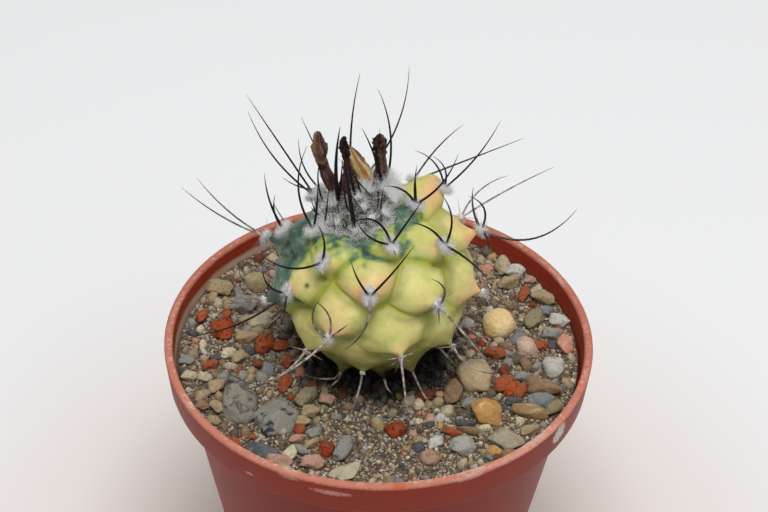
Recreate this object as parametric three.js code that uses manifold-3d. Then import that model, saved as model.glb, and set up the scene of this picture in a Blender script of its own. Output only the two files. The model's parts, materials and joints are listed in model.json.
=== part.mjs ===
// A small variegated turbinicarpus in a round nursery pot: a flattened globe of tubercles that stands in
// gravel, with woolly areoles, curved spines and the withered remains of its flowers.
// Millimetres, +Z up, the origin at the middle of the pot's flat base.
import * as THREE from "three";
import { mergeVertices } from "three/addons/utils/BufferGeometryUtils.js";
import Module from "manifold-3d";

const wasm = await Module();
wasm.setup();

// Driving dimensions

const GAP = 0.3; // between pieces that touch

const POT = {
  height: 48,
  rimRadius: 27.5,
  lip: 1.1, // thickness of the rim at its top edge
  bandHeight: 4.9,
  bandFootRadius: 27,
  shoulderRadius: 25.1, // of the wall, just under the band
  footRadius: 17.4,
  wall: 0.9,
  floor: 1.4,
  edge: 0.4, // rounding of the rim and the foot
  drainHoles: 6,
  drainRadius: 2.3,
  drainCircle: 11,
  sides: 40,
};

const SOIL = {
  drop: 2.7, // from the rim down to the gravel's surface
  relief: 0.7,
  reliefPitch: 2.4,
  rings: 10,
  grains: 44,
  grainSize: [0.9, 1.6],
  headroom: 1.4, // between the gravel and the spines that hang over it
};

const PLANT = {
  centre: [-0.65, 0.45, 57.6],
  lean: [-0.172, 0.019], // sideways run of the growing axis for each millimetre up
  radius: 14.2, // through the tubercles' points
  halfHeight: 11.7,
  faces: 13, // parts along each edge of the icosahedron that the globe starts from
};

// Tubercle n stands at start + n turns of the divergence angle, and its polar angle grows by a power law
// that levels off where the oldest tubercles crowd round the root neck.
const SPIRAL = {
  first: -18,
  last: 31,
  crownLast: -11, // up to here the tubercles are hidden in the crown's wool
  woollyLast: 18, // past here the areoles have lost their wool
  start: 272.6,
  divergence: 150.83,
  polarAtZero: 58.4,
  origin: 18.85,
  power: 1.146,
  polarLimit: 146,
  limitSharpness: 12,
};

const TUBERCLE = {
  depth: 3.6, // from the tip down to the groove, on a full-grown tubercle
  fullSpacing: 0.62, // of full-grown tubercles, in parts of the globe's radius
  domeShare: 0.63, // of the depth; the pointed chin has the rest
  grooveWidth: 0.16,
  chinWidth: 0.16,
  leastSpacing: 0.42, // of the crowded ones round the root neck
  leastYoungSpacing: 0.2, // of the ones round the growing point
  domeRise: 0.16, // the dome's middle lies this far above the chin
  chinUndercut: 1.5, // the chin falls off this much faster on its lower side
};

const ROOT = { neckRadius: 5.6, soilRadius: 5.2, tipRadius: 1.6, length: 22, neckTop: 51 };

const CROWN = {
  reach: 24, // polar angle at its edge
  smooth: 16, // up to this polar angle the skin under it has no tubercles yet
  thickness: 1.6,
  edge: 0.4,
  lumps: 0.4,
  sides: 16,
};

const AREOLE = { width: 0.95, height: 0.8, thickness: 0.45 };

const SPINE = {
  baseRadius: 0.19,
  stoutRadius: 0.26, // in the crown
  fineRadius: 0.13,
  fineLength: 3.4, // spines shorter than this are fine ones
  clearance: 0.55, // from the skin
  unseenBow: 0.5,
};

// The line of sight that the spines were measured along runs down at this angle, towards +Y.
const SIGHT_ANGLE = THREE.MathUtils.degToRad(38.9);

// Colours, from the photograph
const COLOURS = {
  pot: 0xa8442f,
  soil: 0x8a7c68,
  stem: 0xcfd07a,
  wool: 0xe6e4dc,
  areole: 0xd8d2c8,
  flower: 0x5a4232,
  sepal: 0xb08a55,
};

// Spines read from the photograph, for each tubercle: where the tip stands from the areole, aside and up in
// the picture plane, and how far the spine's middle bows to the left of that line.
const SPINES = new Map([
  [-15, [[-0.4, 10, 0], [-3.7, 10.8, -0.4]]],
  [-14, [[-2.5, 9.6, -0.8]]],
  [-13, [[0.6, 14.6, 0.7]]],
  [-12, [[-1.1, 10.4, 0.1]]],
  [-11, [[-1.3, 10.9, -1]]],
  [-10, [[-0.6, 10.3, 1.4], [0.5, 5.3, -0.2]]],
  [-9, [[-0.1, 2.8, 0], [0, 4.6, 0.2], [-3.9, 2, -0.7], [4.8, 5.9, -0.8]]],
  [-8, [[-8.4, 11.9, 0], [-8.2, 9.9, 1]]],
  [-7, [[-5.8, 1.7, -2.1], [-4.3, 2.9, 0.8], [3.5, 5.2, 0], [0.6, -1.5, 0]]],
  [-6, [[4.9, 13.5, -1.3]]],
  [-5, [[-0.6, 4.6, -0.6], [-7.2, 1, 1.3]]],
  [-4, [[-1.5, 3.9, -0.9], [-3.8, 4.4, -1], [6.7, 8.4, -0.6]]],
  [-3, [[-2.3, 6.7, 0.5], [-1, 4.1, 0.6]]],
  [-2, [[-4.5, 2.6, -0.7], [-0.9, 6.2, -1.1], [5.2, -4.2, 0.4]]],
  [-1, [[-3, 6.5, 0.8], [-5, 1.5, 0.5]]],
  [0, [[5, 6.1, -0.2], [-2.3, 4.3, 0.3], [-2.8, -6.2, 1.1]]],
  [1, [[6.3, 7.5, 0.5], [14.4, 6.1, 0]]],
  [2, [[-10.3, -5.1, 0.9], [-2.8, 3.2, 1], [-0.2, -3.2, 0]]],
  [3, [[-1.9, 4.1, -1.3], [11.5, 2.8, -2.4], [0.9, -2.5, 0.3], [-1.3, 5.2, 0.5]]],
  [4, [[-9.1, 7.3, 0.6], [-11.1, 6.1, 0.6]]],
  [5, [[-1, 3.3, -1.2], [6.5, -7.4, 0.2], [-2, -1.1, 0], [0.1, -2.2, 0]]],
  [7, [[-1.6, 4.6, -1], [-1, 4.9, 1.4], [-9.4, -5.8, 0.8], [2.3, 1.8, 0]]],
  [8, [[12.4, 7.1, 0.3], [6.1, 5.7, 1]]],
  [9, [[-3.2, 4.1, 0.9], [-4.7, -0.5, 0], [-2.7, 2.9, 0.7]]],
  [10, [[0.5, -1.4, 0], [3.8, -2.6, 0.3]]],
  [12, [[1.2, -7.7, -0.1], [-2.5, -0.3, 0], [2.1, 1, 0]]],
  [14, [[-5.9, -4.5, 0.6], [2.4, -1.1, 0], [-1.6, -2, 0]]],
  [17, [[5.5, -3.2, -1], [-2.5, -0.1, 0]]],
  [19, [[-1.8, -6.6, 0.3]]],
  [22, [[6.7, -5.3, 0.4]]],
  [24, [[2.8, -5.3, -0.1]]],
  [26, [[-1.6, -4.7, 0], [-4.8, -2.2, 0.9]]],
  [29, [[3, -3.3, 0]]],
  [31, [[1.3, -3.9, 0]]],
]);

// Tubercles that stand off the spiral's own place, aside and up in the picture plane.
const NUDGES = new Map([
  [-10, [-0.4, -0.8]],
  [-4, [1.1, 0.1]],
  [-3, [0.4, 0.6]],
  [2, [0.8, -0.4]],
  [3, [0.6, 0]],
  [4, [-1.1, -0.1]],
  [14, [0.5, 0.5]],
]);

// Withered flowers: where the base stands in the crown (polar angle and azimuth), where the top stands from
// it (aside, up and towards the viewer), its bow, its radii at the base, the middle and the top, and how far
// it is flattened.
const FLOWERS = {
  withered_flower_left: { at: [15, 150], top: [-2.7, 7.7, 6], bow: -0.5, radii: [0.75, 0.7, 1], flat: 1 },
  withered_flower_middle: { at: [12, 108], top: [-1, 6.6, 5.2], bow: 0.3, radii: [0.6, 0.7, 0.65], flat: 1 },
  withered_flower_right: { at: [18, 48], top: [-0.4, 6.2, 5.4], bow: 0.3, radii: [0.7, 0.8, 0.9], flat: 1 },
  dry_sepal: { at: [10, 20], top: [-2.9, 4.8, 4.2], bow: 0.2, radii: [0.8, 0.95, 0.3], flat: 0.55 },
};

// Larger stones: place (x, y), size (across, along, high), turn in degrees and colour.
const STONES = [
  { name: "stone_grey_left", at: [-17.2, -11.2], size: [4.4, 7.4, 3.4], turn: 12, colour: 0x77756e },
  { name: "stone_grey_veined", at: [-12.4, -13.6], size: [5.4, 6.8, 3.6], turn: -18, colour: 0x7d7b76 },
  { name: "stone_slate", at: [-13.6, -19.3], size: [5.6, 2.4, 2], turn: -22, colour: 0x4c5052 },
  { name: "stone_lava_front", at: [2.4, -15], size: [3, 2.4, 2], turn: 15, colour: 0xa83c20 },
  { name: "stone_lava_left", at: [-20.5, 3], size: [3.4, 3.8, 2.6], turn: 30, colour: 0xb0442a },
  { name: "stone_lava_near_stem", at: [-14.6, 0.2], size: [3, 3.6, 2.4], turn: -25, colour: 0xb64a2c },
  { name: "stone_lava_corner", at: [-6, -18.6], size: [2.5, 2.3, 2], turn: 40, colour: 0xb0381e },
  { name: "stone_lava_right", at: [16.6, -6.6], size: [2.3, 3.8, 2.4], turn: 8, colour: 0xb2401f },
  { name: "stone_ochre", at: [15.6, 5], size: [4.4, 4.6, 4], turn: 0, colour: 0xcf9c4a },
  { name: "stone_pinkish", at: [19.2, 0.8], size: [3, 3.4, 2.6], turn: 20, colour: 0xb79a82 },
  { name: "stone_white_grey", at: [22.4, -2.8], size: [3, 3.6, 2.6], turn: -35, colour: 0xa9a499 },
  { name: "stone_salmon", at: [24.2, 1.6], size: [2, 3.8, 2.4], turn: 5, colour: 0xc98d76 },
  { name: "stone_tan_big", at: [12.4, -4.9], size: [4.6, 6.2, 3.6], turn: -8, colour: 0x9c8768 },
  { name: "stone_golden", at: [13.6, -11.5], size: [3.7, 4.8, 3.2], turn: 14, colour: 0xa07f4c },
  { name: "stone_tan_long", at: [19, -11.2], size: [5.2, 2.4, 2.2], turn: -12, colour: 0x94795a },
  { name: "stone_beige_wedge", at: [15.8, -16.3], size: [3.6, 4.4, 2.6], turn: 35, colour: 0xa0917a },
  { name: "stone_grey_white", at: [10.6, -17.6], size: [3.4, 3, 2.4], turn: -20, colour: 0x9b978c },
  { name: "stone_pink_tan", at: [6.6, -19.8], size: [3.2, 2.6, 2.2], turn: 10, colour: 0xa58470 },
  { name: "stone_pale_flat", at: [-3.6, -22.6], size: [4.6, 2.4, 1.8], turn: 18, colour: 0xb5ab90 },
  { name: "stone_tan_back", at: [-16.4, 12.6], size: [3.6, 3.4, 2.8], turn: 50, colour: 0xa8966f },
];

const STONE_FINE_FROM = 4.5; // stones at least this long have the finer faces

const { lerp } = THREE.MathUtils;
const UP = new THREE.Vector3(0, 0, 1);
const RIGHT = new THREE.Vector3(1, 0, 0);
const SIGHT = new THREE.Vector3(0, -Math.cos(SIGHT_ANGLE), Math.sin(SIGHT_ANGLE));
const RISE = new THREE.Vector3(0, Math.sin(SIGHT_ANGLE), Math.cos(SIGHT_ANGLE));
const soilTop = POT.height - SOIL.drop;
const plantCentre = new THREE.Vector3(...PLANT.centre);
const plantAxis = new THREE.Vector3(...PLANT.lean, 1).normalize();
const plantRight = RIGHT.clone().addScaledVector(plantAxis, -plantAxis.x).normalize();
const plantBack = plantAxis.clone().cross(plantRight);

// A repeatable random number from 0 to 1.
function seeded(seed) {
  let state = seed;
  return () => {
    state = (state + 0x6d2b79f5) | 0;
    let t = Math.imul(state ^ (state >>> 15), 1 | state);
    t = (t + Math.imul(t ^ (t >>> 7), 61 | t)) ^ t;
    return ((t ^ (t >>> 14)) >>> 0) / 4294967296;
  };
}

// Geometry helpers

// Merges a geometry's vertices by place, and moves each of them by a function of its own.
function shaped(geometry, move) {
  const plain = geometry.clone();
  plain.deleteAttribute("normal");
  plain.deleteAttribute("uv");
  const merged = mergeVertices(plain, 1e-5);
  const place = merged.getAttribute("position");
  for (let i = 0; i < place.count; i++) {
    const moved = move(new THREE.Vector3().fromBufferAttribute(place, i), i);
    place.setXYZ(i, moved.x, moved.y, moved.z);
  }
  return merged;
}

function solidOf(geometry) {
  const merged = shaped(geometry, (v) => v);
  return new wasm.Manifold(
    new wasm.Mesh({
      numProp: 3,
      vertProperties: merged.getAttribute("position").array,
      triVerts: new Uint32Array(merged.index.array),
    }),
  );
}

// The largest body of a solid, because a cut can leave loose scraps.
function mainBody(solid) {
  return solid.decompose().reduce((a, b) => (b.volume() > a.volume() ? b : a));
}

function geometryOf(solid) {
  const mesh = solid.getMesh();
  return new THREE.BufferGeometry()
    .setAttribute("position", new THREE.BufferAttribute(mesh.vertProperties, 3))
    .setIndex(new THREE.BufferAttribute(mesh.triVerts, 1));
}

// A lathe about Z from [radius, height] points.
function turned(profile, sides) {
  const points = profile.map(([r, z]) => new THREE.Vector2(r, z));
  return new THREE.LatheGeometry(points, sides).rotateX(Math.PI / 2);
}

function matte(colour, roughness = 0.8) {
  return new THREE.MeshStandardMaterial({ color: colour, roughness, metalness: 0 });
}

const part = new THREE.Group();

function add(name, geometry, material) {
  const mesh = new THREE.Mesh(geometry, material);
  mesh.name = name;
  part.add(mesh);
}

// Pot

const potBandFoot = POT.height - POT.bandHeight;
const potInnerRim = POT.rimRadius - POT.lip;
const potInnerFoot = POT.footRadius - POT.wall;
const potInnerShoulder = POT.shoulderRadius - POT.wall;

function potSolid() {
  const { height, rimRadius, bandFootRadius, shoulderRadius, footRadius, edge } = POT;
  const shell = solidOf(
    turned(
      [
        [0, 0],
        [footRadius - edge, 0],
        [footRadius, edge],
        [shoulderRadius, potBandFoot - edge],
        [bandFootRadius - edge, potBandFoot],
        [bandFootRadius, potBandFoot + edge],
        [rimRadius, height - edge],
        [rimRadius - edge, height],
        [potInnerRim + edge, height],
        [potInnerRim, height - edge],
        [potInnerRim - edge, potBandFoot + edge],
        [potInnerShoulder, potBandFoot - 2 * edge],
        [potInnerFoot, POT.floor],
        [0, POT.floor],
      ],
      POT.sides,
    ),
  );
  const drill = new THREE.CylinderGeometry(POT.drainRadius, POT.drainRadius, 3 * POT.floor, 12);
  drill.rotateX(Math.PI / 2);
  let drilled = shell;
  for (let i = 0; i < POT.drainHoles; i++) {
    const hole = drill.clone().translate(POT.drainCircle, 0, 0);
    drilled = drilled.subtract(solidOf(hole.rotateZ((2 * Math.PI * i) / POT.drainHoles)));
  }
  return drilled;
}

// The plant's globe. A direction on the unit sphere stands for a place on the ellipsoid through the
// tubercles' points.

function plantPlace(local) {
  return plantCentre
    .clone()
    .addScaledVector(plantRight, local.x * PLANT.radius)
    .addScaledVector(plantBack, local.y * PLANT.radius)
    .addScaledVector(plantAxis, local.z * PLANT.halfHeight);
}

function plantLocal(place) {
  const from = place.clone().sub(plantCentre);
  return new THREE.Vector3(
    from.dot(plantRight) / PLANT.radius,
    from.dot(plantBack) / PLANT.radius,
    from.dot(plantAxis) / PLANT.halfHeight,
  );
}

function plantNormal(direction) {
  return new THREE.Vector3()
    .addScaledVector(plantRight, direction.x / PLANT.radius)
    .addScaledVector(plantBack, direction.y / PLANT.radius)
    .addScaledVector(plantAxis, direction.z / PLANT.halfHeight)
    .normalize();
}

function polarOf(n) {
  const { polarAtZero, origin, power, polarLimit, limitSharpness } = SPIRAL;
  const raw = polarAtZero * (Math.max(0, n + origin) / origin) ** power;
  return raw / (1 + (raw / polarLimit) ** limitSharpness) ** (1 / limitSharpness);
}

function polarAngle(direction) {
  return THREE.MathUtils.radToDeg(Math.acos(THREE.MathUtils.clamp(direction.z, -1, 1)));
}

function directionAt(polar, azimuth) {
  return new THREE.Vector3().setFromSphericalCoords(
    1,
    THREE.MathUtils.degToRad(polar),
    THREE.MathUtils.degToRad(azimuth) + Math.PI / 2,
  ).applyAxisAngle(RIGHT, Math.PI / 2);
}

function leastSpacing(n) {
  return n > 0 ? TUBERCLE.leastSpacing : TUBERCLE.leastYoungSpacing;
}

function makeTubercle(n) {
  const tip = plantPlace(directionAt(polarOf(n), SPIRAL.start + SPIRAL.divergence * n));
  const [aside, rise] = NUDGES.get(n) ?? [0, 0];
  tip.addScaledVector(RIGHT, aside).addScaledVector(RISE, rise);
  const local = plantLocal(tip);
  const direction = local.clone().normalize();
  const north = UP.clone().addScaledVector(direction, -direction.z).normalize();
  const band = THREE.MathUtils.degToRad(polarOf(n + 0.5) - polarOf(n - 0.5));
  const sine = Math.sqrt(1 - direction.z * direction.z);
  return {
    n,
    direction,
    reach: local.length(),
    north,
    east: north.clone().cross(direction),
    spacing: Math.max(leastSpacing(n), Math.sqrt(2 * Math.PI * sine * band)),
    normal: plantNormal(direction),
  };
}

const tubercles = [];
for (let n = SPIRAL.first; n <= SPIRAL.last; n++) tubercles.push(makeTubercle(n));

// How far out the skin lies in a direction, in parts of the ellipsoid: grooves run halfway between
// neighbouring tubercles, each tubercle is a dome, and its chin comes to a point under the dome's middle.
function skin(direction) {
  const { depth, fullSpacing, domeShare, grooveWidth, chinWidth, domeRise, chinUndercut } = TUBERCLE;
  let nearest = 9;
  let second = 9;
  let chin = 0;
  const relief = depth / PLANT.radius;
  for (const t of tubercles) {
    const away = direction.clone().sub(t.direction);
    const across = away.dot(t.east) / t.spacing;
    const along = away.dot(t.north) / t.spacing;
    const cell = Math.hypot(across, along - domeRise, direction.dot(t.direction) < 0 ? 9 : 0);
    if (cell < nearest) [nearest, second] = [cell, nearest];
    else second = Math.min(second, cell);
    const point = Math.hypot(across, along < 0 ? along * chinUndercut : along);
    const size = Math.min(1, t.spacing / fullSpacing);
    chin = Math.max(chin, (relief * size * (1 - domeShare) + t.reach - 1) * Math.exp(-point / chinWidth));
  }
  const width = Math.hypot(direction.x, direction.y); // the grooves are shallow near the growing point
  const size = THREE.MathUtils.clamp(Math.sqrt(width), 0.3, 1);
  const dome = 1 - Math.exp((nearest - second) / grooveWidth);
  const grown = THREE.MathUtils.smoothstep(polarAngle(direction), CROWN.smooth, CROWN.reach);
  return 1 - relief * size * (1 - domeShare * dome * grown) + chin * grown;
}

function skinPlace(direction, lift = 0) {
  const place = plantPlace(direction.clone().multiplyScalar(skin(direction)));
  return place.addScaledVector(plantNormal(direction), lift);
}

// Globe vertices, with the one nearest each tubercle's point drawn onto it, so that the points stay sharp.
function globeGeometry() {
  const ball = shaped(new THREE.IcosahedronGeometry(1, PLANT.faces - 1), (v) => v.normalize());
  const place = ball.getAttribute("position");
  const nearness = (i, t) => new THREE.Vector3().fromBufferAttribute(place, i).dot(t.direction);
  for (const t of tubercles) {
    let best = 0;
    for (let i = 1; i < place.count; i++) if (nearness(i, t) > nearness(best, t)) best = i;
    place.setXYZ(best, ...t.direction);
  }
  return shaped(ball, (v) => skinPlace(v.normalize()));
}

function rootProfile(grow) {
  const bottom = soilTop - ROOT.length - grow;
  return [
    [0, bottom],
    [ROOT.tipRadius + grow, bottom],
    [ROOT.soilRadius + grow, soilTop - 3],
    [ROOT.neckRadius + grow, soilTop + 1.5],
    [ROOT.neckRadius + grow, ROOT.neckTop],
    [0, ROOT.neckTop],
  ];
}

// Spines

// A step in the picture plane, and towards the viewer.
function pictureStep(aside, rise, near = 0) {
  return RIGHT.clone().multiplyScalar(aside).addScaledVector(RISE, rise).addScaledVector(SIGHT, near);
}

// The tip of a spine that was measured in the picture plane: along the line of sight it leans whichever
// way brings it nearest to its tubercle's own direction.
function tipOffset(normal, aside, rise) {
  const flat = pictureStep(aside, rise);
  const length = flat.length();
  const along = Math.max(flat.dot(normal), 0.25 * length);
  const lean = (normal.dot(SIGHT) * length * length) / along;
  return flat.addScaledVector(SIGHT, THREE.MathUtils.clamp(lean, -0.6 * length, 0.8 * length));
}

// Keeps a place on a spine out of the plant's skin, the crown's wool, the gravel and the pot's rim.
function kept(place, clearance, overWool) {
  const local = plantLocal(place);
  const direction = local.clone().normalize();
  const wool = overWool && polarAngle(direction) < CROWN.reach + 3 ? CROWN.thickness + CROWN.lumps : 0;
  const least = skin(direction) + (clearance + wool) / PLANT.radius;
  const clear = local.length() >= least ? place : plantPlace(direction.multiplyScalar(least));
  const floor = Math.hypot(clear.x, clear.y) > potInnerRim - 2 ? POT.height : soilTop;
  return clear.setZ(Math.max(clear.z, floor + SOIL.headroom));
}

// A three-sided spine that tapers to a point along a bowed line.
function spineSolid(base, offset, bow, radius, overWool) {
  const side = new THREE.Vector3().crossVectors(SIGHT, offset).normalize();
  const middle = offset.clone().multiplyScalar(0.5).addScaledVector(side, 2 * bow);
  const curve = new THREE.QuadraticBezierCurve3(base, base.clone().add(middle), base.clone().add(offset));
  const parts = Math.ceil(THREE.MathUtils.clamp(offset.length() / 2.4, 2, 4));
  const across = side.clone().cross(offset).normalize();
  const cone = new THREE.ConeGeometry(radius, 1, 3, parts);
  return solidOf(
    shaped(cone, (v) => {
      const t = v.y + 0.5;
      const stout = 1 + 0.5 * t; // the taper is slower at the root than at the tip
      const bent = curve.getPoint(t);
      const place = t > 0 ? kept(bent, SPINE.clearance * Math.min(1, 4 * t), overWool) : bent;
      return place.addScaledVector(side, v.x * stout).addScaledVector(across, v.z * stout);
    }),
  );
}

// Spines that the photograph doesn't show, on the plant's far side: an upper one that curves to the crown, a
// long outer one and two at the sides.
function unseenSpines(t, random) {
  const place = plantNormal(t.direction);
  const north = UP.clone().addScaledVector(place, -place.z).normalize();
  const east = north.clone().cross(place);
  const toward = (up, side, out, length) =>
    new THREE.Vector3()
      .addScaledVector(north, up + 0.3 * (random() - 0.5))
      .addScaledVector(east, side + 0.3 * (random() - 0.5))
      .addScaledVector(place, out)
      .normalize()
      .multiplyScalar(length * (0.85 + 0.3 * random()));
  const outer = toward(-0.15, 0, 1, 10.5);
  if (t.n > SPIRAL.woollyLast) return [outer];
  return [outer, toward(0.8, 0.1, 0.9, 7), toward(0.1, 1, 0.8, 5.5), toward(0.1, -1, 0.8, 5.5)];
}

function spinesOf(t, base, random) {
  const inCrown = t.n <= SPIRAL.crownLast;
  const seen = SPINES.get(t.n);
  if (!seen) {
    const offsets = unseenSpines(t, random);
    return offsets.map((offset) => spineSolid(base, offset, SPINE.unseenBow, SPINE.baseRadius, true));
  }
  return seen.map(([aside, rise, bow]) => {
    const offset = tipOffset(t.normal, aside, rise);
    const short = offset.length() < SPINE.fineLength;
    const radius = inCrown ? SPINE.stoutRadius : short ? SPINE.fineRadius : SPINE.baseRadius;
    return spineSolid(base, offset, bow, radius, !inCrown);
  });
}

// The woolly cushion on a tubercle's point, with its spines rooted in it.
function areoleSolid(t, random) {
  const seat = plantPlace(t.direction.clone().multiplyScalar(skin(t.direction)));
  const middle = seat.addScaledVector(t.normal, GAP + AREOLE.thickness);
  const turn = new THREE.Matrix4().makeBasis(t.east, t.normal.clone().cross(t.east), t.normal);
  const pad = shaped(new THREE.OctahedronGeometry(1, 1), (v) =>
    v
      .normalize()
      .multiply(new THREE.Vector3(AREOLE.width, AREOLE.height, AREOLE.thickness))
      .applyMatrix4(turn)
      .add(middle),
  );
  return spinesOf(t, middle, random).reduce((whole, spine) => whole.add(spine), solidOf(pad));
}

// Crown wool: a felt that follows the skin over the growing point. It is turned as a profile of polar angle
// and height over the skin, and then laid on the globe.
function crownWool(random) {
  const { reach, thickness, lumps, edge, sides } = CROWN;
  const seat = GAP + 0.1; // the globe's facets stand a little above the skin in its hollows
  const under = [0, 0.3, 0.6, 0.9].map((s) => [s * reach, seat]);
  const crowned = (s) => [s * reach, seat + thickness * Math.sqrt(1 - 0.8 * s * s)];
  const over = [0.9, 0.7, 0.45, 0.22, 0].map(crowned);
  const lathe = turned([...under, [reach, seat + edge], ...over], sides);
  return solidOf(
    shaped(lathe, (v) => {
      const polar = Math.hypot(v.x, v.y);
      const azimuth = THREE.MathUtils.radToDeg(Math.atan2(v.y, v.x));
      const lump = v.z > seat + edge ? lumps * (2 * random() - 1) : 0;
      return skinPlace(directionAt(polar, azimuth), v.z + lump);
    }),
  );
}

// Withered flowers: pleated tubes that stand in the crown's wool.

// A withered flower, or with grow the smooth socket round it, which goes on down through the wool.
function flowerSolid({ at, top, bow, radii, flat }, grow = 0) {
  const random = seeded(Math.round(100 * top[0]));
  const direction = directionAt(...at);
  const base = skinPlace(direction, GAP + 0.35);
  const offset = pictureStep(...top);
  const side = new THREE.Vector3().crossVectors(SIGHT, offset).normalize();
  const across = side.clone().cross(offset).normalize();
  const middle = offset.clone().multiplyScalar(0.5).addScaledVector(side, 2 * bow);
  const curve = new THREE.QuadraticBezierCurve3(base, base.clone().add(middle), base.clone().add(offset));
  return solidOf(
    shaped(new THREE.CylinderGeometry(1, 1, 1, 10, 5), (v) => {
      const t = v.y + 0.5;
      const radius = t < 0.5 ? lerp(radii[0], radii[1], 2 * t) : lerp(radii[1], radii[2], 2 * t - 1);
      const pleat = (0.12 + 0.1 * t) * Math.cos(5 * Math.atan2(v.z, v.x) + 2 * t);
      const crumple = 0.2 * t * (random() - 0.5);
      const size = grow ? 1.22 * radius + grow : radius * (1 + pleat + crumple);
      const place = curve.getPoint(t).addScaledVector(side, v.x * size);
      place.addScaledVector(across, v.z * (grow ? size : size * flat));
      return grow && t < 0.1 ? place.addScaledVector(plantAxis, -3 * grow) : place;
    }),
  );
}

// Stones and gravel

// A worn, faceted stone, sunk a little under half its height into the gravel.
function stoneGeometry({ at, size, turn, name }, grow = 0) {
  const random = seeded([...name].reduce((sum, letter) => sum * 31 + letter.charCodeAt(0), 7) | 0);
  const angle = THREE.MathUtils.degToRad(turn);
  const coarse = Math.max(...size) < STONE_FINE_FROM;
  const body = coarse ? new THREE.DodecahedronGeometry(1) : new THREE.IcosahedronGeometry(1, 1);
  return shaped(body, (v) => {
    v.normalize().multiplyScalar(0.9 + 0.2 * random());
    v.set(v.x * (size[0] / 2 + grow), v.y * (size[1] / 2 + grow), v.z * (size[2] / 2 + grow));
    return v.applyAxisAngle(UP, angle).add(new THREE.Vector3(...at, soilTop + 0.12 * size[2]));
  });
}

// The gravel's surface: a lump round the middle of each cell of a jittered grid.
function gravelRelief(x, y) {
  const px = x / SOIL.reliefPitch;
  const py = y / SOIL.reliefPitch;
  let nearest = 9;
  for (let i = Math.floor(px) - 1; i <= Math.floor(px) + 1; i++) {
    for (let j = Math.floor(py) - 1; j <= Math.floor(py) + 1; j++) {
      const random = seeded(i * 7919 + j * 104729);
      nearest = Math.min(nearest, Math.hypot(i + random() - px, j + random() - py));
    }
  }
  return SOIL.relief * (0.5 - nearest);
}

function soilSolid() {
  const top = potInnerRim - POT.edge - GAP;
  const ledge = potBandFoot + POT.edge;
  const rings = [];
  for (let i = 0; i <= SOIL.rings; i++) rings.push([top * (1 - i / SOIL.rings), soilTop]);
  const lathe = turned(
    [
      [0, POT.floor + GAP],
      [potInnerFoot - GAP, POT.floor + GAP],
      [potInnerShoulder - GAP, potBandFoot - 2 * POT.edge],
      [top, ledge + GAP],
      ...rings,
    ],
    POT.sides,
  );
  let bed = solidOf(
    shaped(lathe, (v) => {
      const inside = Math.hypot(v.x, v.y) < top - 0.5;
      return v.z > soilTop - 0.1 && inside ? v.setZ(v.z + gravelRelief(v.x, v.y)) : v;
    }),
  );
  for (const grain of grainSolids(top)) bed = bed.add(grain);
  bed = bed.subtract(solidOf(turned(rootProfile(GAP), 16)));
  for (const stone of STONES) bed = bed.subtract(solidOf(stoneGeometry(stone, GAP)));
  return mainBody(bed);
}

// Grains scattered over the bed, clear of the stem's neck, the pot's wall and the larger stones.
function grainSolids(bedRadius) {
  const random = seeded(5150);
  const grains = [];
  while (grains.length < SOIL.grains) {
    const reach = Math.sqrt(random());
    const angle = 2 * Math.PI * random();
    const size = lerp(...SOIL.grainSize, random());
    const radius = reach * (bedRadius - size - 0.2);
    const at = [radius * Math.cos(angle), radius * Math.sin(angle)];
    const nearStone = STONES.some(
      (stone) => Math.hypot(at[0] - stone.at[0], at[1] - stone.at[1]) < size + 0.45 * Math.max(...stone.size),
    );
    const spread = random();
    if (radius < 11 || nearStone) continue;
    const ball = new THREE.IcosahedronGeometry(size, 0);
    const grain = shaped(ball, (v) => v.multiplyScalar(0.8 + 0.4 * random()));
    grain.scale(1, 1, 0.75).rotateZ(2 * Math.PI * spread).translate(...at, soilTop + 0.1);
    grains.push(solidOf(grain));
  }
  return grains;
}

// Assembly

const random = seeded(2718);

add("pot", geometryOf(potSolid()), matte(COLOURS.pot, 0.55));
add("soil", geometryOf(soilSolid()), matte(COLOURS.soil, 0.95));
for (const stone of STONES) add(stone.name, stoneGeometry(stone), matte(stone.colour));

const bareAreoles = tubercles.filter((t) => t.n > SPIRAL.woollyLast);
const woollyAreoles = tubercles.filter((t) => t.n > SPIRAL.crownLast && t.n <= SPIRAL.woollyLast);
const crownAreoles = tubercles.filter((t) => t.n <= SPIRAL.crownLast);

let stem = solidOf(globeGeometry()).add(solidOf(turned(rootProfile(0), 16)));
for (const t of bareAreoles) {
  const base = plantPlace(t.direction.clone().multiplyScalar(skin(t.direction) - 0.06));
  for (const spine of spinesOf(t, base, random)) stem = stem.add(spine);
}
add("stem", geometryOf(mainBody(stem)), matte(COLOURS.stem, 0.5));

let crown = crownWool(random);
for (const t of crownAreoles) {
  const base = skinPlace(t.direction, GAP + 0.5 * CROWN.thickness);
  for (const spine of SPINES.has(t.n) ? spinesOf(t, base, random) : []) crown = crown.add(spine);
}
for (const flower of Object.values(FLOWERS)) crown = crown.subtract(flowerSolid(flower, GAP));
add("crown_wool", geometryOf(mainBody(crown)), matte(COLOURS.wool, 1));
for (const [name, flower] of Object.entries(FLOWERS)) {
  const colour = name === "dry_sepal" ? COLOURS.sepal : COLOURS.flower;
  add(name, geometryOf(flowerSolid(flower)), matte(colour, 0.9));
}

woollyAreoles.forEach((t, i) => {
  const name = `areole_${String(i + 1).padStart(2, "0")}`;
  add(name, geometryOf(areoleSolid(t, random)), matte(COLOURS.areole, 0.9));
});

export default part;
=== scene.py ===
"""Looks for a small variegated turbinicarpus in its nursery pot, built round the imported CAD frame.

Sizes are in millimetres where a class says so, and turn into metres when a mesh is made.
"""

from __future__ import annotations

import json
import logging
import math
from dataclasses import dataclass, field
from enum import Enum
from functools import cached_property, partialmethod
from typing import Any, ClassVar, Mapping, NamedTuple, Sequence

import bmesh
import bpy
import numpy as np
from mathutils import Matrix, Vector, noise

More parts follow.
